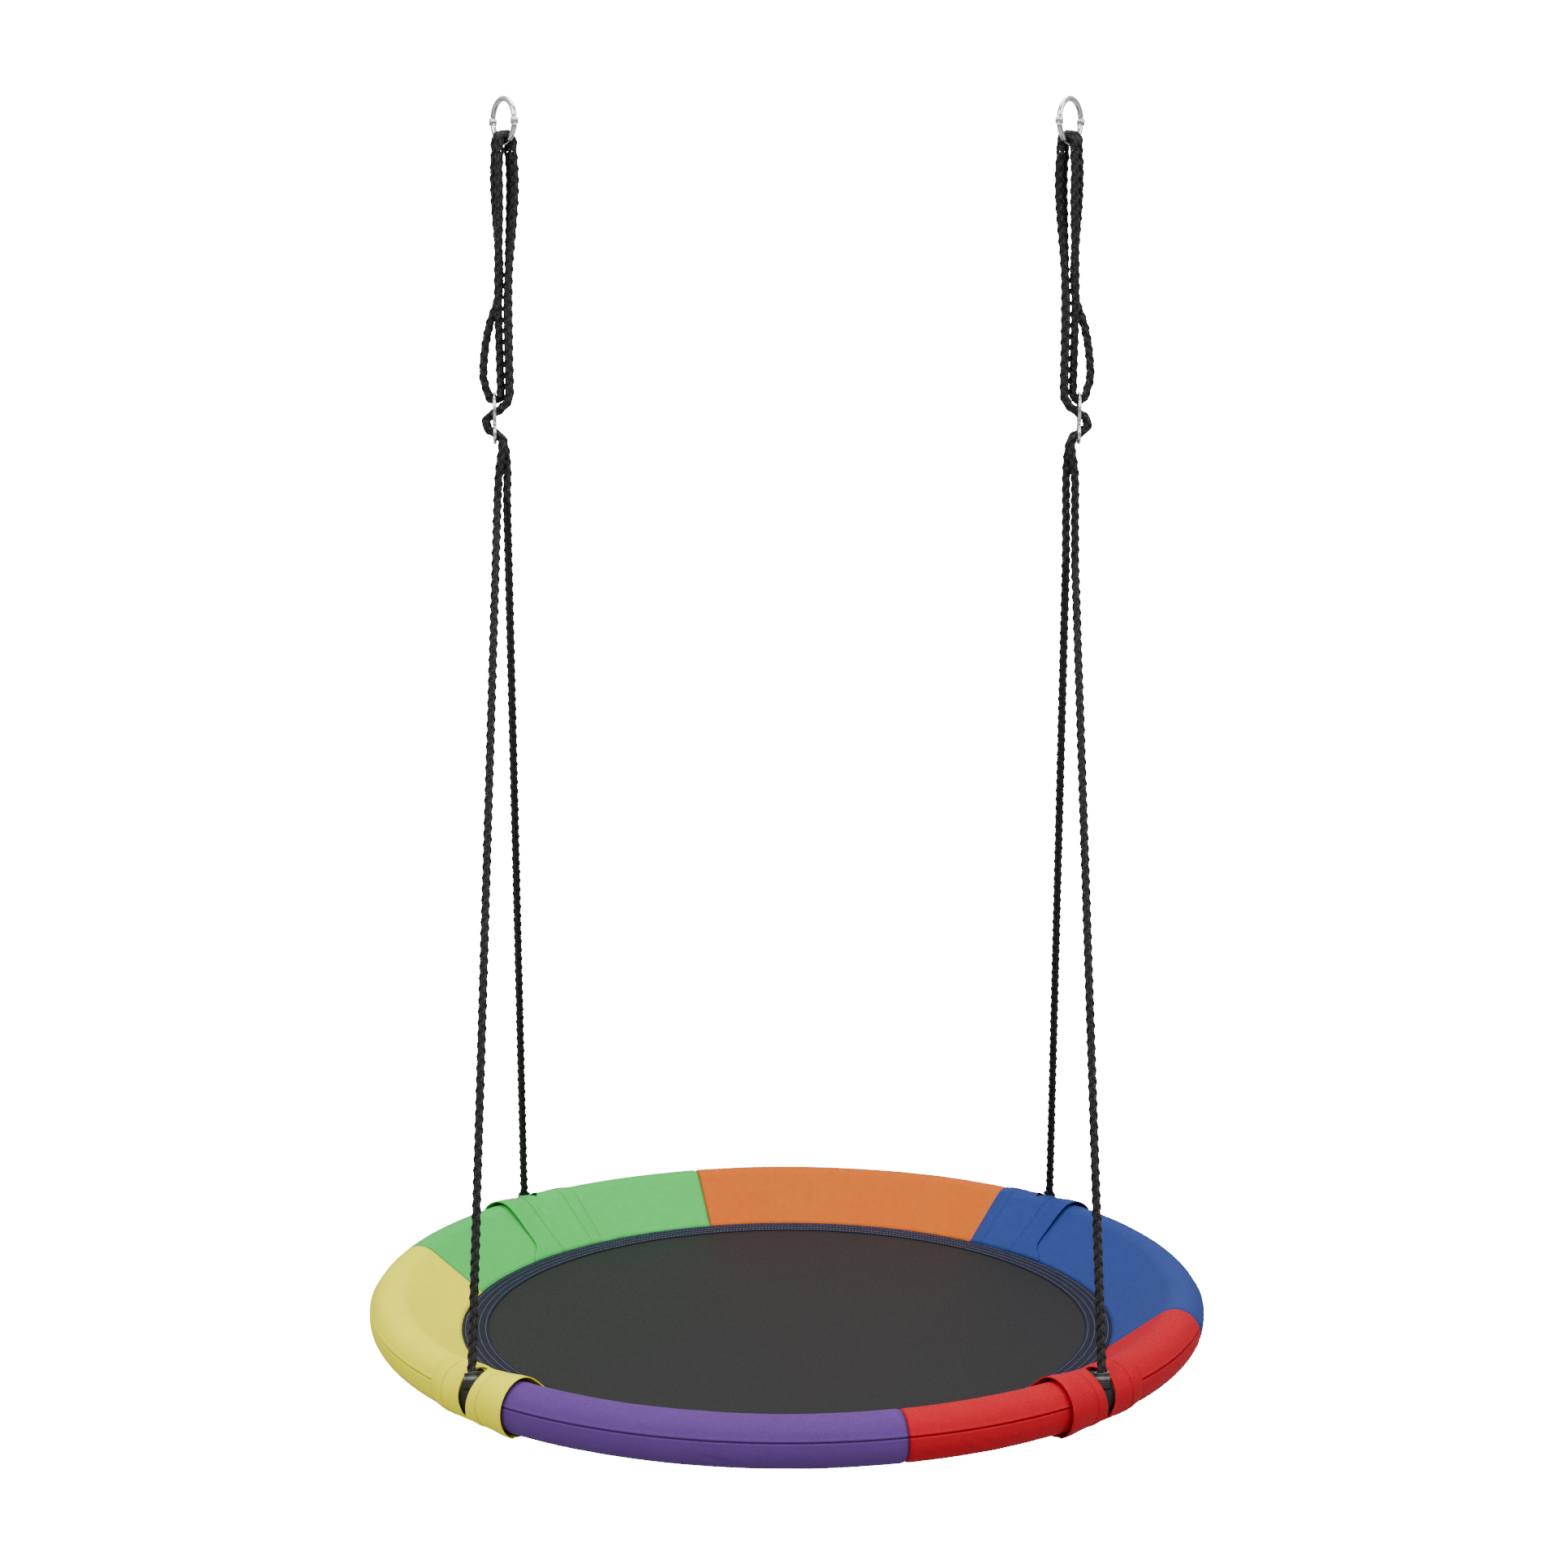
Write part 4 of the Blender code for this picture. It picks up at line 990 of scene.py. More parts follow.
def leg_route(side, label, azimuth):
    """The rope from a ring through both eyes of the adjuster and down to the rim."""
    front = -1.0 if label.startswith("front") else 1.0
    beside = front * PAIR_SPACING
    bunch = Vector((SIDES[side] * (RING_X - 0.0024), front * 0.0056, -0.215))
    weave = [
        (-0.0172, 0.075),
        (-0.0175, 0.045),
        (-0.0168, 0.030),
        (-0.0130, 0.022),
        (-0.0070, 0.0165),
        (0.0000, 0.0120),
        (0.0078, 0.0062),
        (0.0100, 0.0000),
        (0.0074, -0.0064),
        (0.0002, -0.0112),
        (-0.0074, -0.0166),
    ]
    parting = [
        (-0.0098, 0.23, 1.00, -0.0290),
        (-0.0094, 0.64, 0.83, -0.0440),
        (-0.0088, 0.90, 0.53, -0.0600),
    ]
    base, direction = rope_end(label, azimuth)
    out = SIDES[side] * (RING_X + 0.0075 - front * 0.98 * PAIR_SPACING)
    fork = Vector((out, front * 0.34 * PAIR_SPACING, -FORK_DROP[side]))
    end = base + direction * (ROPE_END_RISE + ROPE_GAP)
    aim = base + direction * POCKET_HEIGHT
    route = upper_route(side, -front, -1.0) + [bunch]
    route += [adjuster_place(side, away, beside, rise) for away, rise in weave]
    for away, spread, depth, rise in parting:
        out = away - front * spread * PAIR_SPACING
        route.append(adjuster_place(side, out, front * depth * PAIR_SPACING, rise))
    straight = route[-1]
    route += [straight.lerp(fork, 0.45), straight.lerp(fork, 0.85), fork, fork.lerp(aim, 0.06)]
    return route + [fork.lerp(aim, 0.5), aim, end]


def bight_route(side):
    """The rope's middle: down from the ring, through the upper eye and back up to the ring."""
    turn = UPPER_EYE[1]
    hook = ADJUSTER_WIRE_RADIUS + ROPE_GAP + ROPE_RADIUS
    inner = Vector((SIDES[side] * (RING_X + 0.0084), -0.0056, -0.215))
    outer = Vector((SIDES[side] * (RING_X + 0.0086), 0.0056, -0.215))
    round_eye = [math.pi * i / 6 for i in range(7)]
    loop = [
        (-0.0070, 0.070),
        (-0.0074, 0.046),
        *[(-hook * math.cos(at), turn - hook * math.sin(at)) for at in round_eye],
        (0.0098, 0.042),
        (0.0122, 0.052),
        (0.0100, 0.085),
        (0.0045, 0.112),
    ]
    route = upper_route(side, 1.0, 1.0) + [inner]
    route += [adjuster_place(side, away, 0.0, rise) for away, rise in loop]
    return route + [outer] + upper_route(side, -1.0, 1.0)[::-1]


def turn_route(side, wrap):
    """The rope's turn over the wire of a ring."""
    drop = RING_INNER_RADIUS - RING_BOTTOM
    along = wrap * WRAP_SPACING
    angles = [math.pi * i / 10 for i in range(11)]
    over = [
        ring_place(side, along, WRAP_RADIUS * math.cos(at), drop - WRAP_RADIUS * math.sin(at))
        for at in angles
    ]
    front = ring_place(side, along, WRAP_RADIUS, drop + WRAP_CUT)
    back = ring_place(side, along, -WRAP_RADIUS, drop + WRAP_CUT)
    return [front, *over, back]


def smooth_route(route, longest=0.004):
    """A centripetal Catmull-Rom curve through the route's points."""
    spots = [Vector(place) for place in route]
    ends = [2 * spots[0] - spots[1], *spots, 2 * spots[-1] - spots[-2]]
    result = []
    for four in zip(ends, ends[1:], ends[2:], ends[3:]):
        knots = [0.0]
        for low, high in zip(four, four[1:]):
            knots.append(knots[-1] + math.sqrt((high - low).length))
        count = max(2, round((four[2] - four[1]).length / longest))
        for i in range(count):
            result.append(curve_point(four, knots, knots[1] + (knots[2] - knots[1]) * i / count))
    result.append(spots[-1])
    return result


def curve_point(spots, knots, at):
    """One point of a centripetal Catmull-Rom curve."""
    rows = list(spots)
    for level in (1, 2, 3):
        width = 1 if level == 1 else 2
        after = []
        for i in range(len(rows) - 1):
            low = knots[i] if level != 3 else knots[1]
            high = knots[i + width] if level != 3 else knots[2]
            share = (at - low) / (high - low)
            after.append(rows[i] * (1 - share) + rows[i + 1] * share)
        rows = after
    return rows[0]


def rope_piece(name, route):
    """Braid one piece of rope along its route, in place of its solid."""
    sizes = bpy.context.scene.swing_sizes
    tree = bpy.data.node_groups.get("braided rope") or braid_tree()
    values = {
        "Rope Radius": ROPE_RADIUS + sizes.strand_proud,
        "Strand Width": sizes.strand_width,
        "Strand Depth": sizes.strand_depth,
        "Lay Length": sizes.lay_length,
        "Strands Each Way": sizes.strands,
        "Finish": finish("rope"),
    }
    piece = run_tree(line_object(name, [route]), tree, values)
    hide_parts(name.replace("braid", "rope"))
    return piece


class SWING_OT_ropes(bpy.types.Operator):
    """Braid the two ropes: turns on the rings, middle loops and long legs"""

    bl_idname = "swing.ropes"
    bl_label = "Ropes"

    def execute(self, context):
        for side, sign in SIDES.items():
            for wrap, place in ((1.0, "front"), (-1.0, "rear")):
                route = smooth_route(turn_route(side, wrap), 0.0015)
                piece = rope_piece("braid_turn_" + side + "_" + place, route)
                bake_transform(piece)
            pieces = [("bight_" + side, smooth_route(bight_route(side)))]
            for label, (azimuth, _, _) in ATTACHMENTS.items():
                if label.endswith(side):
                    pieces.append(("leg_" + label, smooth_route(leg_route(side, label, azimuth))))
            for name, route in pieces:
                piece = rope_piece("braid_" + name, route)
                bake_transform(piece)
        return {"FINISHED"}


# Padded rim ---------------------------------------------------------------------------------------


def rim_outline(extra=0.0, arc_steps=46, slope_steps=14, floor_steps=16, wall_steps=0):
    """Outline of the rim as (radius, z, angle, distance along): over the pad, under it and up inside."""
    radius = PAD_RADIUS + extra
    high_z = SKIRT_TIP_Z + extra / math.cos(SKIRT_SLOPE)
    start = math.pi / 2 + SKIRT_SLOPE
    touch = (PAD_CENTRE + radius * math.cos(start), radius * math.sin(start))
    spots = []
    for i in range(slope_steps):
        share = i / slope_steps
        place = SKIRT_INNER_RADIUS + (touch[0] - SKIRT_INNER_RADIUS) * share
        spots.append((place, high_z + (touch[1] - high_z) * share, start))
    turns = [start + (-math.pi / 2 - start) * i / arc_steps for i in range(arc_steps + 1)]
    turns = [turn for turn in turns if abs(turn - SEAM_ANGLE) * PAD_RADIUS > 0.0030]
    turns += [SEAM_ANGLE + away / PAD_RADIUS for away in SEAM_STEPS]
    for angle in sorted(turns, reverse=True):
        spots.append((PAD_CENTRE + radius * math.cos(angle), radius * math.sin(angle), angle))
    for i in range(1, floor_steps + 1):
        share = i / floor_steps
        place = PAD_CENTRE + (SKIRT_INNER_RADIUS - PAD_CENTRE) * share
        spots.append((place, -radius, -math.pi / 2))
    for i in range(1, wall_steps + 1):
        height = -radius + (SKIRT_TIP_Z - WALL_GAP + radius) * i / wall_steps
        spots.append((SKIRT_INNER_RADIUS, height, -math.pi / 2))
    result = []
    length = 0.0
    for i, (place, height, angle) in enumerate(spots):
        if i:
            length += math.dist(spots[i - 1][:2], (place, height))
        result.append((place, height, angle, length))
    return result


def outline_normals(outline):
    """Directions that point out of an outline."""
    result = []
    last = len(outline) - 1
    for i in range(len(outline)):
        before = outline[max(0, i - 1)]
        after = outline[min(last, i + 1)]
        run = after[0] - before[0]
        rise = after[1] - before[1]
        size = math.hypot(run, rise)
        result.append((-rise / size, run / size))
    return result


def rim_point(azimuth, place, height):
    """A point of the rim from its azimuth in radians."""
    return (place * math.cos(azimuth), place * math.sin(azimuth), height - HANG_HEIGHT)


def spaced_columns(low, high, step, fixed=()):
    """Values from low to high about a step apart, with some of them fixed."""
    marks = sorted({low, high, *[value for value in fixed if low < value < high]})
    result = []
    for start, end in zip(marks, marks[1:]):
        count = max(1, round((end - start) / step))
        result += [start + (end - start) * i / count for i in range(count)]
    return result + [high]


# Both ends of each crease, as (along the panel, distance round it)
CREASES = {
    "red": [
        ((0.062, 0.148), (0.084, 0.168)),
        ((0.078, 0.146), (0.106, 0.160)),
        ((0.010, 0.150), (0.034, 0.166)),
    ],
    "yellow": [((0.060, 0.040), (0.085, 0.078)), ((0.120, 0.150), (0.150, 0.160))],
    "purple": [((0.030, 0.150), (0.052, 0.162)), ((0.300, 0.152), (0.330, 0.160))],
    "green": [((0.340, 0.060), (0.372, 0.084)), ((0.130, 0.030), (0.150, 0.062))],
    "blue": [((0.330, 0.050), (0.365, 0.078)), ((0.190, 0.032), (0.205, 0.060))],
    "orange": [((0.120, 0.020), (0.135, 0.058)), ((0.360, 0.022), (0.350, 0.060))],
}


def cover_offset(colour, along, length, spot, arc_length, crease, shift):
    """How far the cover stands out from its plain shape at one point."""
    place, height, angle, distance = spot
    out = 0.45 * crease * noise.noise(Vector((along * 9 + shift, distance * 14, shift)))
    out += 0.22 * crease * noise.noise(Vector((along * 32, distance * 30 + shift, 2.0)))
    seam = distance - arc_length
    out -= 0.0016 * bell(seam, 0.0006)
    out += 0.0007 * bell(seam + 0.0019, 0.0009)
    out += 0.0004 * bell(seam - 0.0022, 0.0012)
    out += 0.35 * crease * bell(seam, 0.007) * noise.noise(Vector((along * 70 + shift, 0.0, 5.0)))
    inner = bell(place - SKIRT_INNER_RADIUS, 0.016)
    if height > -0.027 and angle > 1.6:
        out += 0.9 * crease * inner * noise.noise(Vector((along * 42 + shift, 1.0, 9.0)))
    for start, end in CREASES[colour]:
        out -= 1.1 * crease * ridge((along, distance), start, end, 0.0022)
    edge = min(along, length - along)
    out -= 0.0016 * bell(edge, 0.0016)
    return out


def seam_distance(outline):
    """Distance along the outline at which the outer seam runs."""
    ahead = [spot for spot in outline if spot[2] <= SEAM_ANGLE + 0.001]
    return ahead[0][3]


def cover_piece(colour, start):
    """One coloured cover panel: padded cloth over the top, round the outside and underneath."""
    sizes = bpy.context.scene.swing_sizes
    outline = rim_outline(wall_steps=5)
    normals = outline_normals(outline)
    arc_length = seam_distance(outline)
    gap = 0.00008 / RIM_RADIUS
    low = math.radians(start) + gap
    high = math.radians(start + 60) - gap
    slots = []
    for azimuth, _, _ in ATTACHMENTS.values():
        for turn in (-360, 0, 360):
            middle = math.radians(azimuth + turn)
            if low - 0.05 < middle < high + 0.05:
                slots.append(middle)
    half = 0.0105 / PAD_CENTRE
    fixed = [middle + way * half for middle in slots for way in (-1, 1)]
    fixed += [low + 0.0008, low + 0.002, low + 0.004, low + 0.007]
    fixed += [high - 0.0008, high - 0.002, high - 0.004, high - 0.007]
    columns = spaced_columns(low, high, 0.0029 / RIM_RADIUS, fixed)
    length = (high - low) * RIM_RADIUS
    rows = []
    maps = []
    shade_and_edge_marks = []
    for azimuth in columns:
        along = (azimuth - low) * RIM_RADIUS
        row = []
        marks = []
        for spot, (out_x, out_z) in zip(outline, normals):
            off = cover_offset(colour, along, length, spot, arc_length, sizes.crease_depth, start * 0.1)
            inner_hold = smoothstep(0.0, 0.006, spot[3]) * smoothstep(0.0, 0.01, outline[-1][3] - spot[3])
            off *= inner_hold
            row.append(rim_point(azimuth, spot[0] + out_x * off, spot[1] + out_z * off))
            edge = min(along, length - along)
            # Painted shade along the panel's side edges and along its outer seam
            marks.append(min(1.0, bell(edge, 0.0012) + bell(spot[3] - arc_length, 0.0005)))
        rows.append(row)
        maps.append([(azimuth * RIM_RADIUS, spot[3]) for spot in outline])
        shade_and_edge_marks.append(marks)

    def keep(i, j):
        middle = (columns[i] + columns[i + 1]) / 2
        angle = (outline[j][2] + outline[j + 1][2]) / 2
        inside = any(abs(middle - slot) < half for slot in slots)
        on_pad = outline[j][3] > outline[13][3] and angle > -1.5
        return not (inside and on_pad and SLOT_END < angle < SLOT_TOP)

    data = grid_data("padded_cover_" + colour, rows, maps, shade_and_edge_marks, keep)
    piece = add_piece("padded_cover_" + colour, data, finish(colour))
    piece = thicken(piece, sizes.cloth_wall)
    place_piece(piece, "saucer", ["cover_" + colour])
    return piece


class SWING_OT_covers(bpy.types.Operator):
    """Sew the six padded cover panels of the rim"""

    bl_idname = "swing.covers"
    bl_label = "Rim Covers"

    def execute(self, context):
        for colour, start in PANELS.items():
            cover_piece(colour, start)
        return {"FINISHED"}


# Rope sleeves -------------------------------------------------------------------------------------


def slot_half_width(angle):
    """Half the width of a sleeve's rope slot at an angle round the rim."""
    if not SLOT_END < angle < SLOT_TOP:
        return 0.0
    share = (SLOT_TOP - angle) / (SLOT_TOP - SLOT_END)
    return 0.0096 * math.sin(math.pi * share**0.62) ** 0.80


def sleeve_offset(along, angle, distance, place, flare, half):
    """How far a sleeve stands off the rim, at a distance along it from its slot."""
    out = 0.0019 + 0.0004 * noise.noise(Vector((along * 40, distance * 30, 3.0 + flare)))
    round_pad = smoothstep(0.415, 0.450, place) if angle > 1.6 else 1.0
    if angle < -1.2:
        round_pad = 0.35
    out += flare * smoothstep(0.012, 0.058, along) * (0.25 + 0.75 * round_pad)
    out -= 0.0012 * smoothstep(-0.050, -0.058, along)
    for stitch in SLEEVE_STITCHES:
        out -= 0.0007 * bell(along - stitch, 0.0012)
        out += 0.0004 * bell(abs(along - stitch) - 0.005, 0.003)
    if half > 0:
        out += 0.0012 * bell(abs(along) - half, 0.004) * round_pad
    folds = [
        ((0.004, 0.068), (-0.018, 0.030)),
        ((-0.003, 0.070), (0.016, 0.036)),
        ((0.010, 0.082), (0.034, 0.070)),
        ((-0.010, 0.086), (-0.034, 0.074)),
        ((0.000, 0.156), (0.020, 0.176)),
    ]
    for start, end in folds:
        out += 0.0011 * ridge((along, distance), start, end, 0.0028)
    return out


def sleeve_slot(place, angle):
    """Half the width of a sleeve's slot at a point of the rim's outline."""
    return slot_half_width(angle) if SKIRT_INNER_RADIUS + 0.03 < place else 0.0


def sleeve_lift(along, spot, flare, half):
    """How far a sleeve stands off the rim, held close where it starts inside the rim."""
    place, _, angle, distance = spot
    off = sleeve_offset(along, angle, distance, place, flare, half)
    return off * (0.55 + 0.45 * smoothstep(0.0, 0.02, distance))


def sleeve_side(azimuth, way, low_edge, high_edge, steps):
    """One half of a sleeve, between its slot and one of its ends."""
    sizes = bpy.context.scene.swing_sizes
    outline = rim_outline()
    normals = outline_normals(outline)
    shares = [i / steps for i in range(steps + 1)]
    rows = []
    maps = []
    shade_and_edge_marks = []
    for share in shares:
        row = []
        line = []
        marks = []
        for spot, (out_x, out_z) in zip(outline, normals):
            place, height, angle, distance = spot
            half = sleeve_slot(place, angle)
            start = low_edge(distance, angle) if low_edge else half
            end = high_edge(distance, angle) if high_edge else -half
            along = start + (end - start) * share
            off = sleeve_lift(along, spot, sizes.sleeve_flare, half)
            turned = math.radians(azimuth) + way * along / PAD_CENTRE
            row.append(rim_point(turned, place + out_x * off, height + out_z * off))
            line.append((turned * RIM_RADIUS, distance))
            # Painted shade along the sleeve's two stitch lines
            mark = 0.0
            for stitch in SLEEVE_STITCHES:
                mark += 0.55 * bell(along - stitch, 0.0007)
            marks.append(min(1.0, mark))
        rows.append(row)
        maps.append(line)
        shade_and_edge_marks.append(marks)
    if way < 0:
        rows.reverse()
        maps.reverse()
        shade_and_edge_marks.reverse()
    return rows, maps, shade_and_edge_marks


def sleeve_point(azimuth, way, along, spot, normal):
    """A point just above a sleeve's cloth."""
    place, height, angle, _ = spot
    sizes = bpy.context.scene.swing_sizes
    off = sleeve_lift(along, spot, sizes.sleeve_flare, sleeve_slot(place, angle)) + 0.0001
    turned = math.radians(azimuth) + way * along / PAD_CENTRE
    return rim_point(turned, place + normal[0] * off, height + normal[1] * off)


def sleeve_piece(label, azimuth, colour, way):
    """One rope sleeve: a band of cloth round the rim with a slot, sewn at one end and open at the other."""
    sizes = bpy.context.scene.swing_sizes
    reach = sizes.sleeve_length / 2

    def closed_end(_distance, _angle):
        return -reach

    def open_end(distance, angle):
        tongue = 0.028 * bell(distance, 0.010) if angle > 1.6 else 0.0
        return reach + tongue

    shapes = []
    for low, high, steps in ((closed_end, None, 26), (None, open_end, 26)):
        rows, maps, shade_and_edge_marks = sleeve_side(azimuth, way, low, high, steps)
        shapes.append(grid_data("half", rows, maps, shade_and_edge_marks))
    joined = bmesh.new()
    for data in shapes:
        joined.from_mesh(data)
    bmesh.ops.remove_doubles(joined, verts=joined.verts, dist=0.00003)
    name = "cloth_sleeve_" + label
    data = bpy.data.meshes.new(name)
    joined.to_mesh(data)
    joined.free()
    for spare in shapes:
        bpy.data.meshes.remove(spare)
    smooth_faces(data)
    piece = thicken(add_piece(name, data, finish(colour)), sizes.cloth_wall)
    place_piece(piece, "saucer", ["rope_sleeve_" + label])
    outline = rim_outline()
    normals = outline_normals(outline)
    spots = list(zip(outline, normals))[2:-18]
    lines = []
    for along in SLEEVE_STITCHES:
        lines.append([sleeve_point(azimuth, way, along, spot, normal) for spot, normal in spots])
    sewing = stitch_piece("sleeve_stitches_" + label, lines, finish(colour + " thread"))
    place_piece(sewing, "saucer", [])
    return piece


class SWING_OT_sleeves(bpy.types.Operator):
    """Wrap the four rope sleeves round the rim and sew them"""

    bl_idname = "swing.sleeves"
    bl_label = "Rope Sleeves"

    def execute(self, context):
        for label, (azimuth, colour, way) in ATTACHMENTS.items():
            sleeve_piece(label, azimuth, colour, way)
        return {"FINISHED"}


# Webbing slings -----------------------------------------------------------------------------------


def strap_band(azimuth):
    """The band of webbing round the foam."""
    rows = []
    maps = []
    shade_and_edge_marks = []
    count = 72
    width = 0.0245
    across = [-0.5, -0.46, -0.40, -0.2, 0.0, 0.2, 0.40, 0.46, 0.5]
    centre = point_on_rim(azimuth)
    turned = math.radians(azimuth)
    along = Vector((-math.sin(turned), math.cos(turned), 0.0))
    outward = Vector((math.cos(turned), math.sin(turned), 0.0))
    for i in range(count + 1):
        angle = -2 * math.pi * i / count
        direction = outward * math.cos(angle) + Vector((0.0, 0.0, math.sin(angle)))
        rows.append([centre + direction * SLING_RADIUS + along * width * share for share in across])
        maps.append([(share * width, -angle * SLING_RADIUS) for share in across])
        shade_and_edge_marks.append([1.0 if abs(share) > 0.45 else 0.0 for share in across])
    return grid_data("band", rows, maps, shade_and_edge_marks)


def pocket_shell(label, azimuth):
    """The folded pocket that holds the rope's end: flat and wide at the band, open round the rope."""
    base, direction = rope_end(label, azimuth)
    turned = math.radians(azimuth)
    along = Vector((-math.sin(turned), math.cos(turned), 0.0))
    along = (along - direction * along.dot(direction)).normalized()
    across = direction.cross(along)
    levels = [-0.0060, -0.0030, 0.0, 0.003, 0.006, 0.0085, 0.0105, 0.0115, 0.0120]
    count = 48
    rows = []
    maps = []
    shade_and_edge_marks = []
    for level in levels:
        share = max(0.0, level) / levels[-1]
        wide = 0.0092 - 0.0012 * share
        deep = 0.0066 + 0.0012 * share
        power = 0.62 + 0.30 * share
        row = []
        line = []
        marks = []
        for k in range(count + 1):
            angle = -2 * math.pi * k / count
            cos, sin = math.cos(angle), math.sin(angle)
            x = wide * math.copysign(abs(cos) ** power, cos)
            y = deep * math.copysign(abs(sin) ** power, sin)
            lip = 0.0014 * share * share * math.cos(angle - 0.7)
            rise = level + lip
            row.append(base + direction * rise + along * x + across * y)
            line.append((level, -angle * 0.010))
            marks.append(1.0 if level == levels[-1] else 0.8 * bell(level - 0.006, 0.0006))
        rows.append(row)
        maps.append(line)
        shade_and_edge_marks.append(marks)
    rows.reverse()
    maps.reverse()
    shade_and_edge_marks.reverse()
    return grid_data("pocket", rows, maps, shade_and_edge_marks)


def sling_piece(label, azimuth):
    """One webbing sling with its rope pocket."""
    joined = bmesh.new()
    for data in (strap_band(azimuth), pocket_shell(label, azimuth)):
        joined.from_mesh(data)
        bpy.data.meshes.remove(data)
    name = "strap_" + label
    data = bpy.data.meshes.new(name)
    joined.to_mesh(data)
    joined.free()
    smooth_faces(data)
    piece = thicken(add_piece(name, data, finish("webbing")), 0.0015)
    return place_piece(piece, "saucer", ["webbing_sling_" + label])


class SWING_OT_slings(bpy.types.Operator):
    """Sew the four webbing slings with their rope pockets"""

    bl_idname = "swing.slings"
    bl_label = "Webbing Slings"

    def execute(self, context):
        for label, (azimuth, _, _) in ATTACHMENTS.items():
            sling_piece(label, azimuth)
        return {"FINISHED"}


# Mat ----------------------------------------------------------------------------------------------


def mat_height(radius, azimuth, sag):
    """Height of the mat's top: a slight hang in the middle and faint tension lines at the edge."""
    share = radius / MAT_RADIUS
    drop = sag * (1 - share**2) ** 2
    lines = 0.00025 * share**6 * (1 - share) * 8 * math.sin(26 * azimuth + 3 * math.sin(5 * azimuth))
    return MAT_TOP - drop + lines


def ring_rows(radii, steps):
    """Azimuths and radii of a disc or ring."""
    azimuths = [2 * math.pi * i / steps for i in range(steps + 1)]
    return azimuths, radii


def mat_piece():
    """The stretched mat."""
    sizes = bpy.context.scene.swing_sizes
    radii = [0.0004] + [MAT_RADIUS * (i / 40) for i in range(1, 40)]
    radii += [MAT_RADIUS - 0.001, MAT_RADIUS + MAT_LAP]
    azimuths, radii = ring_rows(radii, 160)
    rows = []
    maps = []
    for azimuth in azimuths:
        turned = (math.cos(azimuth), math.sin(azimuth))
        rows.append([(r * turned[0], r * turned[1], mat_height(r, azimuth, sizes.mat_sag)) for r in radii])
        maps.append([(r * turned[0], r * turned[1]) for r in radii])
    # Painted shade in a ring at the mat's edge
    shade_and_edge_marks = [[0.9 * bell(r - MAT_RADIUS, 0.0015) for r in radii] for _ in azimuths]
    data = grid_data("stretched_mat", rows, maps, shade_and_edge_marks)
    shape = bmesh.new()
    shape.from_mesh(data)
    rim = [edge for edge in shape.edges if edge.is_boundary and edge.verts[0].co.xy.length < 0.002]
    if rim:
        bmesh.ops.contextual_create(shape, geom=rim)
        layer = shape.loops.layers.uv.active
        for face in shape.faces:
            for loop in face.loops:
                if loop.vert.co.xy.length < 0.002:
                    loop[layer].uv = loop.vert.co.xy
    bmesh.ops.recalc_face_normals(shape, faces=shape.faces)
    top = sum(face.normal.z for face in shape.faces)
    if top < 0:
        bmesh.ops.reverse_faces(shape, faces=shape.faces)
    shape.to_mesh(data)
    shape.free()
    smooth_faces(data)
    piece = thicken(add_piece("stretched_mat", data, finish("mat")), 0.0016)
    return place_piece(piece, "saucer", ["seat_mat"])


def hem_piece():
    """The hem tape round the mat's edge."""
    sizes = bpy.context.scene.swing_sizes
    width = 0.030
    shares = [0.0, 0.012, 0.04, 0.12, 0.25, 0.4, 0.55, 0.7, 0.85, 0.96, 0.988, 1.0]
    rows = []
    maps = []
    shade_and_edge_marks = []
    for i in range(289):
        azimuth = 2 * math.pi * i / 288
        row = []
        for share in shares:
            radius = MAT_RADIUS - width + (width + MAT_LAP) * share
            lift = 0.0010 * min(1.0, math.sqrt(max(0.0, min(share, 1 - share)) / 0.03))
            lift += 0.0002 * math.cos(share * 4 * 2 * math.pi)
            height = mat_height(radius, azimuth, sizes.mat_sag) + 0.0002 + lift
            row.append((radius * math.cos(azimuth), radius * math.sin(azimuth), height))
        rows.append(row)
        maps.append([(azimuth * MAT_RADIUS, width * share) for share in shares])
        # Painted shade along both edges of the hem tape
        shade_and_edge_marks.append([0.8 if share in (0.0, 1.0) else 0.0 for share in shares])
    data = grid_data("hem_tape", rows, maps, shade_and_edge_marks)
    shape = bmesh.new()
    shape.from_mesh(data)
    if sum(face.normal.z for face in shape.faces) < 0:
        bmesh.ops.reverse_faces(shape, faces=shape.faces)
    shape.to_mesh(data)
    shape.free()
    smooth_faces(data)
    piece = thicken(add_piece("hem_tape", data, finish("hem")), 0.0007)
    return place_piece(piece, "saucer", ["mat_hem"])


def hem_stitches():
    """Rows of stitches that hold the hem."""
    sizes = bpy.context.scene.swing_sizes
    lines = []
    for inset in (0.0025, 0.0100, 0.0185, 0.0265):
        radius = MAT_RADIUS - inset
        line = []
        for i in range(720):
            azimuth = 2 * math.pi * i / 720
            height = mat_height(radius, azimuth, sizes.mat_sag) + 0.0012
            line.append((radius * math.cos(azimuth), radius * math.sin(azimuth), height))
        lines.append(line)
    piece = stitch_piece("hem_stitches", lines, finish("hem thread"), closed=True)
    return place_piece(piece, "saucer", [])


class SWING_OT_mat(bpy.types.Operator):
    """Stretch the mat, lay its hem and sew it"""

    bl_idname = "swing.mat"
    bl_label = "Mat and Hem"

    def execute(self, context):
        mat = mat_piece()
        hem = hem_piece()
        stitches = hem_stitches()
        return {"FINISHED"}


# Snap rings and adjusters -------------------------------------------------------------------------


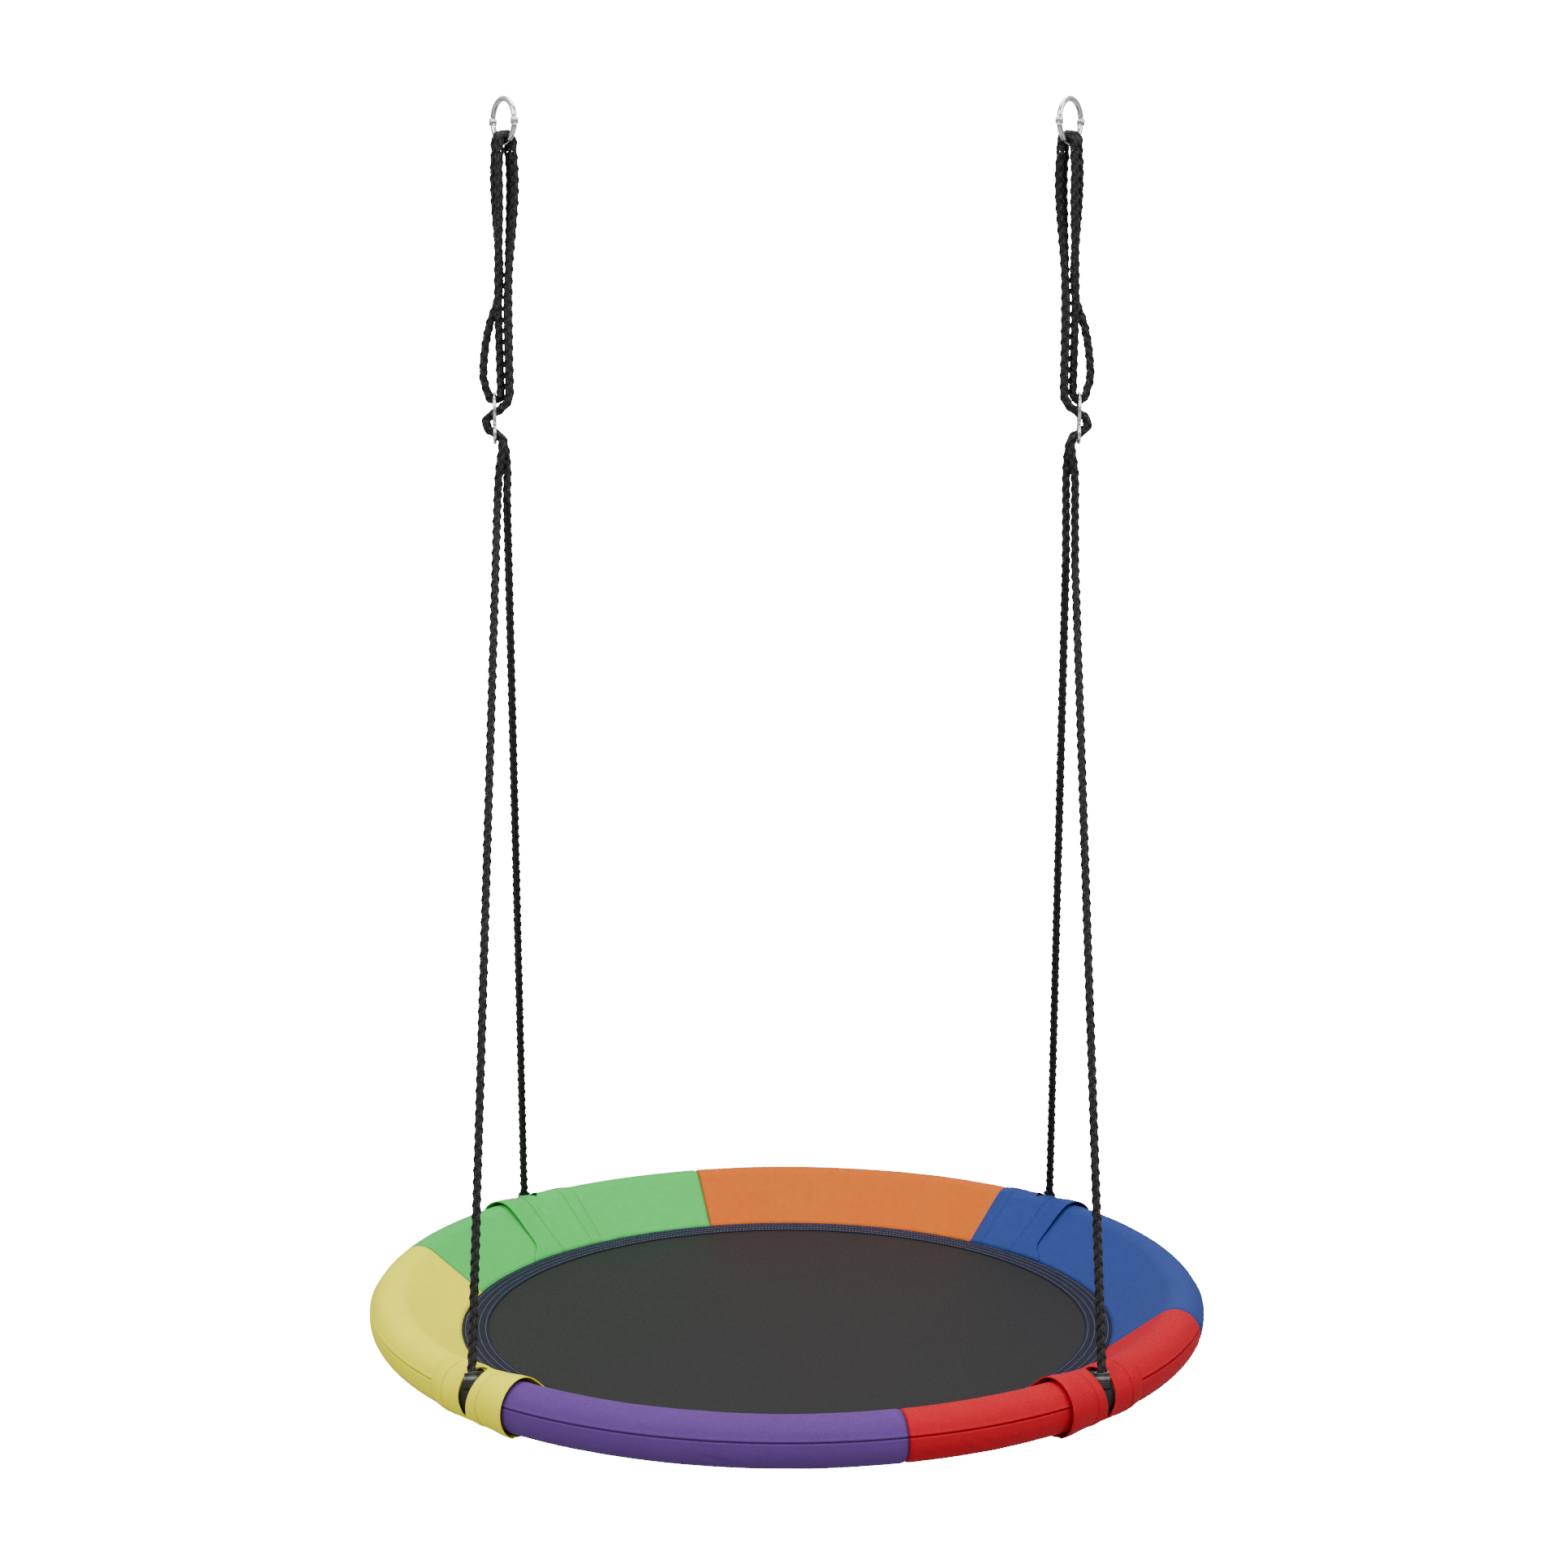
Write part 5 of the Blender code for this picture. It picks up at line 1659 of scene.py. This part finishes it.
def ring_matrix(side):
    """Place of a ring: its plane is the local XZ plane, with its hinge at +X."""
    turn = -RING_TURN if side == "left" else math.pi + RING_TURN
    move = Matrix.Translation((SIDES[side] * RING_X, 0.0, -RING_INNER_RADIUS))
    return move @ Matrix.Rotation(turn, 4, "Z")


def ring_points(start, end, count):
    """Points on the ring's wire between two angles in degrees."""
    angles = [math.radians(start + (end - start) * i / (count - 1)) for i in range(count)]
    return [(RING_RADIUS * math.cos(at), 0.0, RING_RADIUS * math.sin(at)) for at in angles]


def lug_outline(middle, reach):
    """Outline in XZ of a rounded lug that reaches up or down from a pivot."""
    radius = 0.0034
    way = 1.0 if reach > 0 else -1.0
    angles = [math.pi * i / 14 for i in range(15)]
    spots = [(middle + radius * math.cos(at), -way * radius * math.sin(at)) for at in angles]
    return spots + [(middle - radius * 0.86, reach), (middle + radius * 0.86, reach)]


def ring_half(side, upper):
    """One half of a snap ring with the lugs of its two joints."""
    if upper:
        wire = ring_points(5, 175, 44)
        lugs = [(middle, 0.0046, -0.00125, 0.00125) for middle in (RING_RADIUS, -RING_RADIUS)]
    else:
        wire = ring_points(185, 355, 44)
        lugs = []
        for middle in (RING_RADIUS, -RING_RADIUS):
            lugs.append((middle, -0.0046, -0.0036, -0.00155))
            lugs.append((middle, -0.0046, 0.00155, 0.0036))
    shapes = [sweep(wire, RING_WIRE_RADIUS, 20, taper=0.0022)]
    for middle, reach, low, high in lugs:
        shapes.append(plate(lug_outline(middle, reach), low, high, 0.0004))
    matrix = ring_matrix(side)
    for shape in shapes:
        bmesh.ops.transform(shape, matrix=matrix, verts=shape.verts)
    half = "upper" if upper else "lower"
    piece = join_parts("snap_ring_" + half + "_" + side, shapes, finish("chrome"))
    body = "gate_" + side if upper else "rings"
    return place_piece(piece, body, ["ring_" + half + "_" + side])


def rivet_piece(side, key):
    """A ring's rivet with domed heads."""
    outline = [
        (0.0, 0.00470),
        (0.0009, 0.0046),
        (0.0017, 0.0042),
        (0.0021, 0.0037),
        (0.00125, 0.00365),
        (0.00125, -0.00365),
        (0.0021, -0.0037),
        (0.0017, -0.0042),
        (0.0009, -0.0046),
        (0.0, -0.00470),
    ]
    shape = lathe(outline)
    middle = RING_RADIUS if key == "hinge" else -RING_RADIUS
    matrix = ring_matrix(side) @ Matrix.Translation((middle, 0.0, 0.0))
    bmesh.ops.transform(shape, matrix=matrix, verts=shape.verts)
    piece = join_parts("rivet_" + key + "_" + side, [shape], finish("zinc"))
    return place_piece(piece, "rings", ["ring_" + key + "_pin_" + side])


class SWING_OT_rings(bpy.types.Operator):
    """Forge the two snap rings with their rivets"""

    bl_idname = "swing.rings"
    bl_label = "Snap Rings"

    def execute(self, context):
        for side in SIDES:
            ring_half(side, False)
            ring_half(side, True)
            rivet_piece(side, "hinge")
            rivet_piece(side, "catch")
        return {"FINISHED"}


def eye_points(size, middle, count):
    """Points round one oval eye, in its own YZ plane."""
    width, height = size
    angles = [2 * math.pi * i / count for i in range(count)]
    return [(0.0, width / 2 * math.cos(at), middle + height / 2 * math.sin(at)) for at in angles]


def adjuster_piece(side):
    """A bent-wire rope adjuster: two eyes joined at the waist."""
    upper = sweep(eye_points(UPPER_EYE, UPPER_EYE[1] / 2, 64), ADJUSTER_WIRE_RADIUS, 14, closed=True)
    lower = sweep(eye_points(LOWER_EYE, -LOWER_EYE[1] / 2, 56), ADJUSTER_WIRE_RADIUS, 14, closed=True)
    weld = bmesh.new()
    bmesh.ops.create_uvsphere(weld, u_segments=20, v_segments=12, radius=1.0)
    size = Matrix.Diagonal((ADJUSTER_WIRE_RADIUS * 1.12, 0.0052, ADJUSTER_WIRE_RADIUS * 1.12, 1.0))
    bmesh.ops.transform(weld, matrix=size, verts=weld.verts)
    turn = Matrix.Rotation(-SIDES[side] * ADJUSTER_TURN[side], 4, "Z")
    matrix = Matrix.Translation(adjuster_place(side, 0.0, 0.0, 0.0)) @ turn
    shapes = [upper, lower, weld]
    for shape in shapes:
        bmesh.ops.transform(shape, matrix=matrix, verts=shape.verts)
    piece = join_parts("wire_adjuster_" + side, shapes, finish("chrome"))
    return place_piece(piece, "rope_" + side, ["rope_adjuster_" + side])


class SWING_OT_adjusters(bpy.types.Operator):
    """Bend the two wire rope adjusters"""

    bl_idname = "swing.adjusters"
    bl_label = "Rope Adjusters"

    def execute(self, context):
        for side in SIDES:
            adjuster_piece(side)
        return {"FINISHED"}


# Frame inside the rim -----------------------------------------------------------------------------


def foam_piece(number):
    """A quarter of the foam round the frame tube."""
    start = math.radians((int(number) - 1) * 90)
    points = []
    for i in range(61):
        azimuth = start + math.radians(0.2) + math.radians(89.6) * i / 60
        points.append((PAD_CENTRE * math.cos(azimuth), PAD_CENTRE * math.sin(azimuth), -HANG_HEIGHT))
    outer = sweep(points, 0.0218, 28)
    piece = join_parts("foam_quarter_" + number, [outer], finish("foam"))
    place_piece(piece, "saucer", ["foam_sleeve_" + number])


class SWING_OT_frame(bpy.types.Operator):
    """Finish the steel frame, its joiners and screws, and lay the foam round it"""

    bl_idname = "swing.frame"
    bl_label = "Frame and Foam"

    def execute(self, context):
        for name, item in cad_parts.items():
            if name.startswith(("frame_tube", "tube_joiner", "frame_screw")):
                coat = finish("zinc" if name.startswith("frame_screw") else "steel")
                for slot in item.material_slots:
                    slot.material = coat
        for number in ("1", "2", "3", "4"):
            foam_piece(number)
        return {"FINISHED"}


# Stage --------------------------------------------------------------------------------------------


def add_floor():
    """A wide pale floor under the hanging swing."""
    shape = bmesh.new()
    bmesh.ops.create_circle(shape, cap_ends=True, segments=96, radius=40.0)
    data = bpy.data.meshes.new("floor")
    shape.to_mesh(data)
    shape.free()
    floor = add_piece("floor", data, finish("floor"))
    floor.location.z = -1.95


def add_light(name, place, aim, size, power):
    """A square softbox aimed at a point."""
    data = bpy.data.lights.new(name, "AREA")
    data.size = size
    data.energy = power
    light = add_piece(name, data)
    light.location = place
    light.visible_camera = False
    light.rotation_euler = (Vector(aim) - Vector(place)).to_track_quat("-Z", "Y").to_euler()


def add_camera():
    """The camera in front of the swing, a little above the rim and looking down."""
    data = bpy.data.cameras.new("camera")
    data.sensor_width = 36.0
    data.lens = 70.43
    data.shift_x = -0.0018
    camera = add_piece("camera", data)
    camera.location = (0.0, -3.5667, -0.2284)
    camera.rotation_euler = (math.radians(81.12), 0.0, 0.0)
    bpy.context.scene.camera = camera


def add_sky():
    """Even white light from all round."""
    world = bpy.data.worlds.new("studio")
    world.use_nodes = True
    back = world.node_tree.nodes["Background"]
    back.inputs["Color"].default_value = (1.0, 1.0, 1.0, 1.0)
    tree = world.node_tree
    seen = tree.nodes.new("ShaderNodeLightPath").outputs["Is Camera Ray"]
    strength = calc(tree, "MULTIPLY_ADD", seen, BACKDROP_LIGHT - SKY_LIGHT, SKY_LIGHT)
    tree.links.new(strength, back.inputs["Strength"])
    bpy.context.scene.world = world


class SWING_OT_stage(bpy.types.Operator):
    """Set the floor, the soft lights and the camera"""

    bl_idname = "swing.stage"
    bl_label = "Stage"

    def execute(self, context):
        add_sky()
        add_floor()
        middle = (0.0, 0.0, -1.2)
        add_light("key_softbox", (-1.8, -2.6, 1.6), middle, 2.2, 100.0)
        add_light("fill_softbox", (2.4, -1.6, 1.2), middle, 2.4, 60.0)
        add_light("top_softbox", (0.0, 0.6, 2.2), middle, 2.6, 90.0)
        add_camera()
        return {"FINISHED"}


# Panel and registration ---------------------------------------------------------------------------


OPERATORS = (
    SWING_OT_stage,
    SWING_OT_ropes,
    SWING_OT_covers,
    SWING_OT_sleeves,
    SWING_OT_slings,
    SWING_OT_mat,
    SWING_OT_rings,
    SWING_OT_adjusters,
    SWING_OT_frame,
)


class SWING_PT_panel(bpy.types.Panel):
    """The swing's sizes, colours and pieces"""

    bl_idname = "SWING_PT_panel"
    bl_label = "Saucer Swing"
    bl_space_type = "VIEW_3D"
    bl_region_type = "UI"
    bl_category = "Saucer Swing"

    def draw(self, context):
        layout = self.layout
        for group in (context.scene.swing_sizes, context.scene.swing_colours):
            box = layout.box()
            for name in group.__annotations__:
                box.prop(group, name)
        for operator in OPERATORS:
            layout.operator(operator.bl_idname)


CLASSES = (SwingSizes, SwingColours, *OPERATORS, SWING_PT_panel)


def register():
    """Register the classes and the settings."""
    for item in CLASSES:
        bpy.utils.register_class(item)
    bpy.types.Scene.swing_sizes = PointerProperty(type=SwingSizes)
    bpy.types.Scene.swing_colours = PointerProperty(type=SwingColours)


def unregister():
    """Remove the settings and the classes."""
    del bpy.types.Scene.swing_colours
    del bpy.types.Scene.swing_sizes
    for item in reversed(CLASSES):
        bpy.utils.unregister_class(item)


def main():
    """Build the whole swing."""
    register()
    for operator in OPERATORS:
        group, name = operator.bl_idname.split(".")
        getattr(getattr(bpy.ops, group), name)()


if __name__ == "__main__":
    main()
